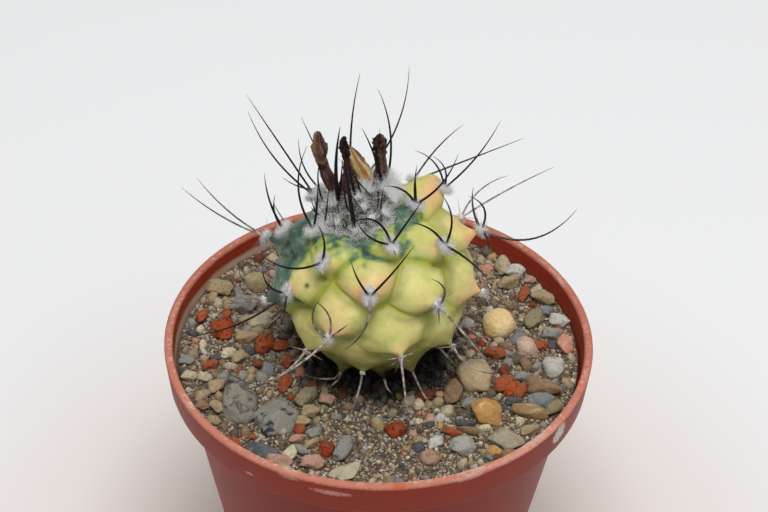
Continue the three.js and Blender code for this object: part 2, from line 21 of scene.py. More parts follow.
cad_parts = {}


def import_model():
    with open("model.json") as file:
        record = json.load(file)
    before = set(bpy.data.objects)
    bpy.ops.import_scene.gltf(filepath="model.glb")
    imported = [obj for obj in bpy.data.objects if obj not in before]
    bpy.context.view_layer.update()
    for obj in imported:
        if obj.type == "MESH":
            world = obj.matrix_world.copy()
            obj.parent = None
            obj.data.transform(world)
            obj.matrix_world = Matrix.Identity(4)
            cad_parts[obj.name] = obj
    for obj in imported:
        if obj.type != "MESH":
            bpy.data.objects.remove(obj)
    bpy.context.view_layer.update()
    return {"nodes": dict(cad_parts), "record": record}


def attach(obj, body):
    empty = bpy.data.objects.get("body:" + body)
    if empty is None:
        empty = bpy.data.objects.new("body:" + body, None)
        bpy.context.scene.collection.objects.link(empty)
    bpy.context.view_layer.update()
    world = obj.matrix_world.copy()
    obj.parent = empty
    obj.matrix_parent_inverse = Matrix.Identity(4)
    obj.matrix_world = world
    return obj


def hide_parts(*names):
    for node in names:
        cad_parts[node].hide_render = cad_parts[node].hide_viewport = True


LOG = logging.getLogger("turbinicarpus")
MM = 0.001
BODY = "root"
PICTURE_WIDTH = 768
PICTURE_HEIGHT = 512
RIGHT = np.array([1.0, 0.0, 0.0])
UP = np.array([0.0, 0.0, 1.0])
SIGHT_ANGLE = math.radians(38.9)
SIGHT = np.array([0.0, -math.cos(SIGHT_ANGLE), math.sin(SIGHT_ANGLE)])
RISE = np.array([0.0, math.sin(SIGHT_ANGLE), math.cos(SIGHT_ANGLE)])

# Where the painted shade round the stem, under the plant, thins out, in millimetres from the pot's axis
NECK_SHADE_REACH = (8.5, 12.5)

Array = np.ndarray
Colour = tuple[float, float, float, float]
Pair = tuple[float, float]
Triple = tuple[float, float, float]
Thing = bpy.types.Object
Material = bpy.types.Material
Random = np.random.Generator


def colour(code: str) -> Colour:
    """Linear red, green, blue and alpha of a six-digit web colour."""
    parts = [int(code[i : i + 2], 16) / 255 for i in (0, 2, 4)]
    return *(c / 12.92 if c <= 0.04045 else ((c + 0.055) / 1.055) ** 2.4 for c in parts), 1.0


def ease(value: Array | float, low: float, high: float) -> Array:
    """A soft step from 0 at low to 1 at high."""
    t = np.clip((np.asarray(value, float) - low) / (high - low), 0, 1)
    return t * t * (3 - 2 * t)


def hill(value: Array | float, width: float) -> Array:
    """A smooth hill that is 1 where the value is 0 and about a third at the width."""
    return np.exp(-((value / width) ** 2))


def unit(vectors: Array) -> Array:
    """Vectors scaled to length 1 along the last axis."""
    return vectors / np.linalg.norm(vectors, axis=-1, keepdims=True)


def fractal(points: Array, scale: float, octaves: int = 3, seed: float = 0.0) -> Array:
    """Fractal noise of about -1 to 1 at points, one a row, with the scale in features a unit."""
    shifted = points * scale + seed * 17.3
    return np.array([noise.fractal(Vector(p), 0.9, 2.0, octaves) for p in shifted])


# Node trees written as expressions


class Signal:
    """A socket of a node tree that takes part in arithmetic."""

    def __init__(self, graph: Graph, socket: bpy.types.NodeSocket) -> None:
        """Wraps one output socket."""
        self.graph = graph
        self.socket = socket

    def _maths(self, operation: str, other: Operand, swapped: bool = False) -> Signal:
        """Adds one Math node."""
        first, second = (other, self) if swapped else (self, other)
        return self.graph.node("ShaderNodeMath", {0: first, 1: second}, operation=operation)

    __add__ = partialmethod(_maths, "ADD")
    __radd__ = partialmethod(_maths, "ADD", swapped=True)
    __sub__ = partialmethod(_maths, "SUBTRACT")
    __rsub__ = partialmethod(_maths, "SUBTRACT", swapped=True)
    __mul__ = partialmethod(_maths, "MULTIPLY")
    __rmul__ = partialmethod(_maths, "MULTIPLY", swapped=True)
    __pow__ = partialmethod(_maths, "POWER")
    at_most = partialmethod(_maths, "MINIMUM")
    at_least = partialmethod(_maths, "MAXIMUM")
    below = partialmethod(_maths, "LESS_THAN")

    def step(self, low: float, high: float) -> Signal:
        """A soft step from 0 at low to 1 at high."""
        inputs = {0: self, 1: low, 2: high}
        return self.graph.node("ShaderNodeMapRange", inputs, interpolation_type="SMOOTHSTEP")

    def output(self, name: str) -> Signal:
        """Another output of the same node."""
        return Signal(self.graph, self.socket.node.outputs[name])


Operand = Signal | float


class Graph:
    """A shader or geometry node tree that is built one expression at a time."""

    def __init__(self, tree: bpy.types.NodeTree) -> None:
        """Starts on an empty or default tree."""
        self.tree = tree

    def node(
        self, kind: str, inputs: Mapping[int | str, Any] | None = None, output: int | str = 0, **settings: Any
    ) -> Signal:
        """Adds a node.

        Args:
            kind: The node's type.
            inputs: Values or signals, by the input's name or number.
            output: Which output to return.
            **settings: The node's attributes.

        Returns:
            The chosen output.
        """
        made = self.tree.nodes.new(kind)
        for name, value in settings.items():
            setattr(made, name, value)
        for key, value in (inputs or {}).items():
            if isinstance(value, Signal):
                self.tree.links.new(value.socket, made.inputs[key])
            else:
                made.inputs[key].default_value = value
        return Signal(self, made.outputs[output])

    def vector(self, operation: str, first: Signal, second: Any = None, output: int | str = 0) -> Signal:
        """Adds a Vector Math node. Its second value is a number for SCALE."""
        values = {} if second is None else {"Scale" if operation == "SCALE" else 1: second}
        return self.node("ShaderNodeVectorMath", {0: first, **values}, output, operation=operation)

    def join(self, *parts: Signal) -> Signal:
        """Geometry of several signals together."""
        joined = self.node("GeometryNodeJoinGeometry")
        for part in parts:
            self.tree.links.new(part.socket, joined.socket.node.inputs[0])
        return joined

    def blend(self, factor: Operand, first: Signal | str, second: Signal | str) -> Signal:
        """A mix of two signals or web colours, from the first at 0 to the second at 1."""
        first, second = (colour(c) if isinstance(c, str) else c for c in (first, second))
        return self.node("ShaderNodeMix", {0: factor, 6: first, 7: second}, 2, data_type="RGBA")

    def shade(self, tint: Signal, amount: Operand) -> Signal:
        """A colour times a grey amount."""
        return self.vector("SCALE", tint, amount)

    @cached_property
    def place(self) -> Signal:
        """Object coordinates in millimetres."""
        return self.vector("SCALE", self.node("ShaderNodeTexCoord", output="Object"), 1 / MM)

    def length(self, vector: Signal) -> Signal:
        """How long a vector is."""
        return self.vector("LENGTH", vector, output="Value")

    def stretched(self, *shares: float) -> Signal:
        """Places times a share along each axis."""
        return self.vector("MULTIPLY", self.place, shares)

    def reach(self) -> Signal:
        """How far each place is from the pot's upright axis."""
        return self.length(self.stretched(1.0, 1.0, 0.0))

    def noise(
        self, scale: float, detail: float = 2, seed: float = 0, distortion: float = 0, at: Signal | None = None
    ) -> Signal:
        """Fractal noise from 0 to 1, with the scale in features a millimetre."""
        moved = self.vector("ADD", at or self.place, (seed, seed, seed))
        settings = {0: moved, "Scale": scale, "Detail": detail, "Distortion": distortion}
        return self.node("ShaderNodeTexNoise", settings)

    def cells(self, scale: float, output: str = "Distance") -> Signal:
        """Voronoi cells, with the scale in cells a millimetre."""
        return self.node("ShaderNodeTexVoronoi", {"Vector": self.place, "Scale": scale}, output)

    def attribute(self, name: str) -> Signal:
        """A number that each vertex of the mesh holds."""
        return self.node("ShaderNodeAttribute", output="Fac", attribute_name=name)


# Finishes


class Painted(NamedTuple):
    """What a pattern gives the shader: its colour, its relief and how many millimetres that is deep."""

    base: Signal
    relief: Signal | None = None
    depth: float = 0.0
    strength: float = 1.0
    roughness: Signal | None = None


@dataclass(frozen=True)
class Finish:
    """A procedural material. Subclasses say how it is painted."""

    extras: ClassVar[Mapping[str, Any]] = {}
    name: str
    roughness: float = 0.8
    specular: float = 0.5

    def material(self) -> Material:
        """Builds the material.

        Returns:
            The material, with its node tree.
        """
        made = bpy.data.materials.new(self.name)
        made.use_nodes = True
        graph = Graph(made.node_tree)
        inputs = graph.tree.nodes["Principled BSDF"].inputs
        plain = {"Roughness": self.roughness, "Specular IOR Level": self.specular}
        for key, value in {**plain, **self.extras}.items():
            inputs[key].default_value = value
        base, relief, depth, strength, roughness = self.paint(graph)
        links = {"Base Color": base, "Roughness": roughness}
        if relief:
            height = {"Height": relief, "Distance": depth * MM, "Strength": strength}
            links["Normal"] = graph.node("ShaderNodeBump", height)
        for key, signal in links.items():
            if signal:
                graph.tree.links.new(signal.socket, inputs[key])
        return made

    def paint(self, graph: Graph) -> Painted:
        """The pattern, in the material's tree. A subclass draws it."""
        raise NotImplementedError


@dataclass(frozen=True)
class Scuff:
    """A pale rubbed or limed spot on the pot, at a bearing in degrees and a height in millimetres."""

    bearing: float
    height: float
    width: float
    tall: float
    tint: str
    strength: float


@dataclass(frozen=True)
class PotPlastic(Finish):
    """Terracotta-red plastic, worn pale and limed along the rim."""

    wall: str = "8d2817"
    wall_low: str = "7c2214"
    band: str = "872b19"
    worn: str = "c07965"
    lime: str = "d8c6b8"
    dusty: str = "cdb49f"
    inner: str = "97351f"
    rim: float = 48.0
    band_foot: float = 43.1
    radius: float = 27.5
    scuffs: tuple[Scuff, ...] = ()

    def paint(self, graph: Graph) -> Painted:
        """Colours by height, with wear near the rim's edges and single scuffs."""
        height = graph.node("ShaderNodeSeparateXYZ", {0: graph.place}, "Z")
        behind = height.output("Y").step(-16.0, 6.0)
        reach = graph.reach()
        cloudy = graph.noise(0.07, 2)
        fine = graph.noise(1.6, 4, seed=3)
        streaks = graph.noise(1.1, 4, seed=7, at=graph.stretched(0.25, 0.25, 1.0))
        scratches = graph.noise(4.5, 3, seed=21, at=graph.stretched(0.5, 0.5, 1.0))
        tint = graph.blend(cloudy.step(0.3, 0.75), self.wall_low, self.wall)
        tint = graph.blend(height.step(self.band_foot - 0.4, self.band_foot + 0.4), tint, self.band)
        near_top = height.step(self.rim - 0.95, self.rim - 0.1)
        rubbed = (near_top * (0.42 + 1.1 * fine)).step(0.3, 0.95)
        tint = graph.blend(rubbed * (1 - 0.25 * behind), tint, self.worn)
        limed = (height.step(self.rim - 0.9, self.rim) * (0.5 * streaks + 0.5 * scratches)).step(0.47, 0.62)
        limed = limed * (1.1 - 0.8 * reach.step(26.5, 27.2)) * (1 - 0.5 * behind)
        tint = graph.blend(limed * 0.75, tint, self.lime)
        inside = height.step(self.band_foot, self.band_foot + 0.6) * (1 - height.step(self.rim - 1.0, self.rim - 0.4))
        inside = inside * (1 - reach.step(26.3, 26.6))
        tint = graph.blend(inside, tint, self.inner)
        settled = 0.06 + 0.8 * (1 - height.output("X").step(-16.0, 6.0))
        low = 1 - (height + streaks).step(self.rim - 2.1, self.rim - 1.1)
        tint = graph.blend(inside * low * settled * (0.5 + streaks), tint, self.dusty)
        specks = graph.noise(2.4, 2, seed=11).step(0.74, 0.82) * 0.25
        tint = graph.blend(specks, tint, self.lime)
        for scuff in self.scuffs:
            tint = graph.blend(self._spot(graph, scratches, scuff), tint, scuff.tint)
        rough = 0.42 + 0.12 * cloudy + 0.3 * rubbed.at_least(limed)
        return Painted(tint, graph.noise(3.2, 3, seed=5) + limed, 0.035, 0.6, rough)

    def _spot(self, graph: Graph, grain: Signal, scuff: Scuff) -> Signal:
        """The strength of one scuff at each place."""
        angle = math.radians(scuff.bearing)
        middle = (self.radius * math.cos(angle), self.radius * math.sin(angle), scuff.height)
        share = (1 / scuff.width, 1 / scuff.width, 1 / scuff.tall)
        scaled = graph.vector("MULTIPLY", graph.vector("SUBTRACT", graph.place, middle), share)
        inside = 1 - graph.length(scaled).step(0.2, 1.0)
        return (inside * (0.1 + 1.5 * grain)).step(0.42, 0.8) * scuff.strength


class Mineral(Enum):
    """The minerals of the gravel mix, each with its colour."""

    UMBER = "6c604f"
    BROWN = "97795a"
    TAN = "b39c79"
    BEIGE = "c6b79a"
    CREAM = "dccfae"
    WHITE = "d4d1c8"
    GREY = "97958e"
    BLUE_GREY = "85898c"
    SLATE = "55585c"
    OLIVE = "988c6c"
    OCHRE = "d2a660"
    PINK = "c69c88"
    SALMON = "d9957c"
    LAVA = "a8532c"
    DARK_LAVA = "7a3e26"


Mix = tuple[tuple[Mineral, float], ...]


@dataclass(frozen=True)
class GravelFinish(Finish):
    """Loose mineral grains, each with a colour of its own."""

    mix: Mix = ()
    speckle: float = 2.2

    def tones(self) -> dict[Mineral, Pair]:
        """The range of tones that each mineral takes, in proportion to its share of the mix."""
        whole = sum(share for _, share in self.mix)
        ranges = {}
        low = 0.0
        for mineral, share in self.mix:
            ranges[mineral] = (low, low + share / whole)
            low += share / whole
        return ranges

    def paint(self, graph: Graph) -> Painted:
        """A ramp over each grain's own tone, mottled and dusted, and darkened with painted shade round the stem."""
        base = graph.node("ShaderNodeValToRGB", {0: graph.attribute("tone")})
        ramp = base.socket.node.color_ramp
        ramp.interpolation = "CONSTANT"
        for i, (mineral, (low, _)) in enumerate(self.tones().items()):
            stop = ramp.elements[i] if i < 2 else ramp.elements.new(low)
            stop.position = low
            stop.color = colour(mineral.value)
        tint = graph.shade(base, 0.42 + 0.74 * graph.noise(self.speckle, 4))
        dust = graph.noise(5.5, 3, seed=9).step(0.5, 0.72) * 0.4
        tint = graph.blend(dust, tint, "988a74")
        spots = graph.noise(4.2, 3, seed=15).step(0.58, 0.68) * 0.5
        tint = graph.blend(spots, tint, "42382e")
        # Painted shade: the grains darken towards the stem, under the plant.
        tint = graph.shade(tint, 0.12 + 0.88 * graph.reach().step(*NECK_SHADE_REACH))
        return Painted(tint, graph.noise(3.5, 5, seed=4), 0.14, 0.9)


@dataclass(frozen=True)
class SandFinish(Finish):
    """The fine grit between the grains."""

    dark: str = "3b332a"
    light: str = "7d6d5a"

    def paint(self, graph: Graph) -> Painted:
        """Tiny cells of grit in several browns, darkened with painted shade round the stem."""
        grit = graph.node("ShaderNodeSeparateColor", {0: graph.cells(3.4, "Color")})
        tint = graph.blend(grit, self.dark, self.light)
        tint = graph.blend(grit.output("Green").step(0.95, 0.97), tint, "8f4a30")
        tint = graph.blend(grit.output("Blue").step(0.82, 0.86), tint, "b6ab98")
        # Painted shade: the grit darkens towards the stem, under the plant.
        tint = graph.shade(tint, 0.1 + 0.9 * graph.reach().step(*NECK_SHADE_REACH))
        return Painted(tint, 1 - graph.cells(3.4), 0.25)


@dataclass(frozen=True)
class StoneFinish(Finish):
    """One stone's mineral: a base, a second colour in patches, veins or spots, and pits darkened with painted shade."""

    base: str = "77756e"
    second: str = "4a4b4a"
    patch: float = 0.35
    patch_from: float = 0.52
    pits: float = 0.0
    dust: float = 0.35

    def paint(self, graph: Graph) -> Painted:
        """Patches of the second colour over the base, then speckle, dust, and painted shade in the pits."""
        patches = graph.noise(self.patch, 5, distortion=1.2).step(self.patch_from, self.patch_from + 0.14)
        tint = graph.blend(patches, self.base, self.second)
        speckle = graph.noise(2.6, 5, seed=2)
        tint = graph.shade(tint, 0.56 + 0.58 * speckle)
        dusty = graph.noise(1.3, 4, seed=8).step(0.5, 0.72) * self.dust
        tint = graph.blend(dusty, tint, "a59c8c")
        pitted = graph.cells(2.1).step(0.0, 0.34)
        # Painted shade in the pits.
        tint = graph.shade(tint, 1 - self.pits * (1 - pitted))
        return Painted(tint, speckle + self.pits * 2 * pitted, 0.16, 0.9)


@dataclass(frozen=True)
class SkinFinish(Finish):
    """The plant's waxy skin, variegated cream-yellow and green."""

    extras: ClassVar[Mapping[str, Any]] = {
        "Subsurface Weight": 0.12,
        "Subsurface Radius": (1.0, 0.8, 0.35),
        "Subsurface Scale": 0.8 * MM,
    }
    cream: str = "d3d17c"
    butter: str = "e0cd89"
    blush: str = "dda276"
    olive: str = "7d823c"
    lime: str = "a1a534"
    tender: str = "a9ad4c"
    leaf: str = "7c9a46"
    sea: str = "3c5748"
    mist: str = "74917c"
    cork: str = "2c2018"

    def paint(self, graph: Graph) -> Painted:
        """Green sectors and grooves, blushed tips and cream, with olive that is partly green skin and partly painted
        shade in the valleys, olive painted shade under the tips and on the underside, and a corky neck darkened with
        painted shade.
        """
        cloudy = graph.noise(0.22, 3)
        mottled = graph.noise(0.9, 4, seed=3)
        speckled = graph.noise(3.2, 3, seed=6)
        tint = graph.blend(cloudy.step(0.35, 0.7), self.cream, self.butter)
        tint = graph.blend(mottled.step(0.42, 0.8) * 0.35, tint, self.lime)
        # Olive between the domes: partly the skin's own green towards their edges, partly painted shade in the valleys.
        valley = graph.attribute("valley") * (0.35 + cloudy + 0.3 * mottled)
        tint = graph.blend(valley.step(0.2, 1.0) * 0.55, tint, self.olive)
        tint = graph.blend(graph.attribute("tender") * (0.3 + 0.6 * mottled), tint, self.tender)
        warm = graph.attribute("blush") * (0.45 + cloudy)
        tint = graph.blend(warm.step(0.2, 0.85) * 0.9, tint, self.blush)
        # Painted shade: olive below each tip and over the underside.
        under = graph.attribute("under") * (0.6 + 0.7 * mottled)
        tint = graph.blend(under.step(0.12, 0.95) * 0.9, tint, self.olive)
        tint = graph.blend(graph.attribute("groove").step(0.12, 0.8) * 0.85, tint, self.lime)
        edge = graph.attribute("green") + (mottled - 0.5) * 0.45 + (speckled - 0.5) * 0.35
        tint = graph.blend(edge.step(0.0, 0.6) * 0.8, tint, self.leaf)
        sea = graph.blend(graph.noise(0.7, 4, seed=9).step(0.4, 0.72), self.sea, self.mist)
        tint = graph.blend(edge.step(0.4, 1.0), tint, sea)
        tint = graph.shade(tint, 0.94 + 0.12 * speckled)
        # The neck's cork colour is deepened to near black, as painted shade under the globe.
        tint = graph.blend((graph.attribute("cork") * (0.6 + speckled)).at_most(1.0), tint, self.cork)
        return Painted(tint, 0.6 * mottled + 0.4 * speckled, 0.1, 0.5, 0.42 + 0.2 * mottled)


@dataclass(frozen=True)
class WoolFinish(Finish):
    """Plant wool: white hairs that grey towards their roots."""

    extras: ClassVar[Mapping[str, Any]] = {
        "Subsurface Weight": 0.7,
        "Subsurface Radius": (1.0, 0.97, 0.95),
        "Subsurface Scale": 1.5 * MM,
        "Sheen Weight": 1.0,
    }
    bright: str = "fcfbfa"
    grey: str = "f0eeec"
    aged: str = "b7a297"
    soot: str = "3b3835"

    def paint(self, graph: Graph) -> Painted:
        """Grey felt with brighter hairs, brown where it is old, and darkened with painted shade deep in the crown
        between the tufts.
        """
        hair = graph.attribute("hair")
        dull = graph.noise(1.1, 4).step(0.35, 0.75)
        tint = graph.blend(dull * (1 - 0.6 * hair), self.bright, self.grey)
        tint = graph.blend(graph.attribute("age").step(0.75, 1.0) * 0.9, tint, self.aged)
        # Painted shade on the felt between the crown's tufts.
        return Painted(graph.blend(graph.attribute("soot") * (1 - 0.8 * hair), tint, self.soot))


@dataclass(frozen=True)
class SpineFinish(Finish):
    """Horny spines: near-black when young, grey with a dark tip when old."""

    dark: str = "171310"
    horn: str = "6c5e56"
    pale: str = "bcb2ac"

    def paint(self, graph: Graph) -> Painted:
        """Tone along each spine, with faint rings and grey scurf."""
        along = graph.attribute("along")
        age = graph.attribute("age")
        scurf = graph.noise(1.5, 4).step(0.35, 0.7)
        old = graph.blend(scurf, self.horn, self.pale)
        tint = graph.blend((age * (1.25 - along)).step(0.1, 0.75), self.dark, old)
        base = (1 - along.step(0.0, 0.16)) * (0.3 + 0.5 * age)
        return Painted(graph.blend(base, tint, self.pale), scurf, 0.02, 0.5)


@dataclass(frozen=True)
class FlowerFinish(Finish):
    """Withered flower tissue: papery brown ribs, creases darkened with painted shade and a charred-looking top."""

    brown: str = "5e3f3a"
    tan: str = "957553"
    dark: str = "261813"

    def paint(self, graph: Graph) -> Painted:
        """Ribs light and creases darkened with painted shade, and darker towards the top."""
        fibres = graph.noise(1.0, 5, at=graph.stretched(3.0, 3.0, 0.7))
        lumps = graph.noise(2.6, 4, seed=4)
        rib = graph.attribute("rib")
        tint = graph.blend((rib * (0.4 + fibres)).step(0.5, 1.15), self.brown, self.tan)
        # Painted shade in the creases between ribs.
        tint = graph.blend((1 - rib).step(0.5, 0.95) * 0.75, tint, self.dark)
        tint = graph.blend(graph.attribute("bleached"), tint, self.tan)
        # The char attribute also carries painted shade under the fold.
        charred = (graph.attribute("char") + 0.9 * (lumps - 0.5)).step(0.3, 0.75)
        return Painted(graph.blend(charred, tint, self.dark), fibres + lumps, 0.16)


@dataclass(frozen=True)
class SepalFinish(Finish):
    """A dry petal's stripes of tan-orange and cream-green."""

    orange: str = "b4743c"
    cream: str = "dcd39a"
    brown: str = "6c5040"

    def paint(self, graph: Graph) -> Painted:
        """Stripes along the petal, browned at its tip and edges."""
        wobble = graph.noise(0.9, 4)
        fibres = graph.noise(2.4, 4, seed=2)
        stripe = graph.attribute("stripe") + 0.5 * (wobble - 0.5) + 0.5 * (fibres - 0.5)
        tint = graph.blend(stripe.step(0.25, 0.8), self.orange, self.cream)
        aged = 0.55 * graph.attribute("along") + 0.6 * graph.attribute("bleached")
        brown = (aged + 0.8 * (wobble - 0.5)).step(0.45, 0.95)
        return Painted(graph.blend(brown, tint, self.brown), wobble, 0.1, 0.6)


@dataclass(frozen=True)
class FloorFinish(Finish):
    """The pale floor, with painted warm bounce light and painted shade round the pot."""

    tint: str = "edeeef"
    warm: str = "dfd3cb"

    def paint(self, graph: Graph) -> Painted:
        """One pale colour, with painted warm bounce light and painted shade round the pot."""
        # Painted bounce light and shade, fading out away from the pot.
        away = graph.reach().step(15.0, 90.0)
        return Painted(graph.blend(away, self.warm, self.tint))


# Meshes


def added(name: str, data: bpy.types.ID) -> Thing:
    """A new object in the scene."""
    made = bpy.data.objects.new(name, data)
    bpy.context.scene.collection.objects.link(made)
    return made


def mesh_object(
    name: str,
    points: Array,
    faces: Sequence[Sequence[int]],
    attributes: Mapping[str, Array] | None = None,
    edges: Sequence[tuple[int, int]] = (),
    material: Material | None = None,
) -> Thing:
    """Makes a mesh object from places in millimetres.

    Args:
        name: Its name.
        points: Places, one a row.
        faces: Corners of each face.
        attributes: A number for each vertex, by name.
        edges: Loose edges.
        material: Its material.

    Returns:
        The object, in the scene.
    """
    mesh = bpy.data.meshes.new(name)
    mesh.from_pydata(np.asarray(points) * MM, list(edges), [list(map(int, f)) for f in faces])
    for key, values in (attributes or {}).items():
        layer = mesh.attributes.new(key, "FLOAT", "POINT")
        layer.data.foreach_set("value", np.ascontiguousarray(values, np.float32))
    mesh.polygons.foreach_set("use_smooth", [True] * len(mesh.polygons))
    mesh.update()
    if material:
        mesh.materials.append(material)
    return added(name, mesh)


def sphere(subdivisions: int) -> tuple[Array, Array]:
    """The unit icosphere.

    Args:
        subdivisions: 1 for the icosahedron.

    Returns:
        Its vertices and triangles.
    """
    ball = bmesh.new()
    bmesh.ops.create_icosphere(ball, subdivisions=subdivisions, radius=1.0)
    ball.verts.ensure_lookup_table()
    points = np.array([v.co[:] for v in ball.verts])
    faces = np.array([[v.index for v in f.verts] for f in ball.faces])
    ball.free()
    return unit(points), faces


def walls(rows: Sequence[Sequence[int]]) -> list[list[int]]:
    """The faces between closed rows of vertices.

    Args:
        rows: Vertices of each row, all the same one where it is a point.

    Returns:
        Corners of each face.
    """
    faces = []
    for lower, upper in zip(rows, rows[1:]):
        for i, corner in enumerate(lower):
            j = (i + 1) % len(lower)
            ring = [corner, lower[j], upper[j], upper[i]]
            faces.append([v for k, v in enumerate(ring) if v != ring[k - 1]])
    return faces


def lathe(profile: Sequence[Pair], sides: int) -> tuple[Array, list[list[int]]]:
    """Turns a profile about the upright axis into a closed solid.

    Args:
        profile: Radius and height of each point, from axis to axis.
        sides: Faces round the axis.

    Returns:
        Its vertices and faces.
    """
    angles = 2 * math.pi * np.arange(sides) / sides
    points: list[Triple] = []
    rows: list[list[int]] = []
    for radius, height in profile:
        turns = angles if radius > 1e-6 else angles[:1]
        start = len(points)
        points += [(radius * math.cos(a), radius * math.sin(a), height) for a in turns]
        rows.append([start + (i % len(turns)) for i in range(sides)])
    return np.array(points), walls(rows)


def rounded(corners: Sequence[Pair], radius: float) -> list[Pair]:
    """A profile with its inner corners rounded.

    Args:
        corners: Its points.
        radius: How far along each side a rounding reaches.

    Returns:
        The rounded profile.
    """
    path = [np.array(c, float) for c in corners]
    made = [tuple(path[0])]
    for before, corner, after in zip(path, path[1:], path[2:]):
        reach_in = min(radius, 0.45 * np.linalg.norm(before - corner))
        reach_out = min(radius, 0.45 * np.linalg.norm(after - corner))
        start = corner + reach_in * unit(before - corner)
        end = corner + reach_out * unit(after - corner)
        made += map(tuple, bezier(start, corner, end, np.linspace(0, 1, 5)))
    return [*made, tuple(path[-1])]


def bezier(start: Array, middle: Array, end: Array, t: Array) -> Array:
    """Points on a quadratic curve at each share t."""
    t = np.asarray(t, float)[:, None]
    return (1 - t) ** 2 * start + 2 * t * (1 - t) * middle + t * t * end


class Recipe:
    """A Geometry Nodes tree with named inputs that turns one object into a plain mesh."""

    def __init__(self, name: str, inputs: Mapping[str, str]) -> None:
        """Starts the tree.

        Args:
            name: Its name.
            inputs: The kind of each named input.
        """
        self.tree = bpy.data.node_groups.new(name, "GeometryNodeTree")
        self.graph = Graph(self.tree)
        face = self.tree.interface
        face.new_socket("Geometry", in_out="INPUT", socket_type="NodeSocketGeometry")
        face.new_socket("Geometry", in_out="OUTPUT", socket_type="NodeSocketGeometry")
        self.sockets = {
            key: face.new_socket(key, in_out="INPUT", socket_type=f"NodeSocket{kind}")
            for key, kind in inputs.items()
        }
        self.entry = self.tree.nodes.new("NodeGroupInput")

    def given(self, name: str = "Geometry") -> Signal:
        """The signal of one named input."""
        return Signal(self.graph, self.entry.outputs[name])

    def end(self, geometry: Signal) -> None:
        """Closes the tree with its result."""
        leave = self.tree.nodes.new("NodeGroupOutput")
        self.tree.links.new(geometry.socket, leave.inputs[0])

    def add(self, kind: str, *values: Any, **settings: Any) -> Signal:
        """Adds a geometry node. Its first inputs take the values, where they aren't None."""
        inputs = {i: value for i, value in enumerate(values) if value is not None}
        return self.graph.node(f"GeometryNode{kind}", inputs, **settings)

    def named(self, name: str) -> Signal:
        """A number that each point holds."""
        return self.add("InputNamedAttribute", name, data_type="FLOAT")

    def random(self, low: Any, high: Any, seed: Operand, kind: str = "FLOAT") -> Signal:
        """A random value for each element, of the kind FLOAT_VECTOR, FLOAT or INT."""
        at = ("FLOAT_VECTOR", "FLOAT", "INT").index(kind)
        inputs = {2 * at: low, 2 * at + 1: high, "Seed": seed}
        return self.graph.node("FunctionNodeRandomValue", inputs, at, data_type=kind)

    def circle(self, sides: int) -> Signal:
        """A circle of radius 1."""
        return self.graph.node("GeometryNodeCurvePrimitiveCircle", {"Resolution": sides, "Radius": 1.0})

    def stored(self, instances: Signal, name: str, value: Operand) -> Signal:
        """Instances that each carry a named number, made real."""
        inputs = {0: instances, "Name": name, "Value": value}
        kept = self.graph.node("GeometryNodeStoreNamedAttribute", inputs, domain="INSTANCE")
        return self.add("RealizeInstances", kept)

    def cook(self, raw: Thing, values: Mapping[str, Any]) -> Thing:
        """Runs the tree on an object.

        Args:
            raw: The object with the input mesh.
            values: A value for each named input.

        Returns:
            The same object, with the result as its plain mesh.
        """
        modifier = raw.modifiers.new(self.tree.name, "NODES")
        modifier.node_group = self.tree
        for key, value in values.items():
            modifier[self.sockets[key].identifier] = value
        graph = bpy.context.evaluated_depsgraph_get()
        mesh = bpy.data.meshes.new_from_object(raw.evaluated_get(graph), depsgraph=graph)
        raw.modifiers.clear()
        raw.data = mesh
        mesh.name = raw.name
        return raw


def woolly_recipe() -> Recipe:
    """The tree that grows curled hairs on a pad's faces and turns loose edges into tapered spines.

    Returns:
        The recipe.
    """
    kinds = {"Density": "Float", "Length": "Float", "Width": "Float", "Seed": "Int"}
    recipe = Recipe("wool_and_spines", {**kinds, "Wool": "Material", "Spine": "Material"})
    graph, add, given = recipe.graph, recipe.add, recipe.given
    seed = given("Seed")
    is_spine = recipe.named("spine")
    strand = add("MeshToCurve", given(), is_spine)
    spines = add("CurveToMesh", strand, recipe.circle(7), recipe.named("thickness"), True)
    spines = add("SetMaterial", spines, None, given("Spine"))

    pad = add("DeleteGeometry", given(), is_spine, domain="POINT")
    crowd = given("Density") * recipe.named("coat")
    points = add("DistributePointsOnFaces", pad, None, None, None, crowd, None, seed)
    curl = add("CurveQuadraticBezier", 4, (0.0, 0.0, -0.1), (-0.2, 0.0, 0.75), (0.7, 0.0, 0.62))
    thin = given("Width") * (1 - 0.7 * add("SplineParameter"))
    hair = add("CurveToMesh", curl, recipe.circle(3), thin)
    tilt = recipe.random((-1.1, -1.1, -math.pi), (1.1, 1.1, math.pi), seed, "FLOAT_VECTOR")
    turn = graph.node("FunctionNodeEulerToRotation", {0: tilt})
    aim = {0: points.output("Rotation"), 1: turn}
    aim = graph.node("FunctionNodeRotateRotation", aim, rotation_space="LOCAL")
    size = given("Length") * recipe.random(0.45, 1.15, seed + 3)
    hairs = recipe.stored(add("InstanceOnPoints", points, None, hair, None, None, aim, size), "hair", 1.0)
    wool = add("SetMaterial", graph.join(pad, hairs), None, given("Wool"))
    recipe.end(add("SetShadeSmooth", graph.join(wool, spines)))
    return recipe


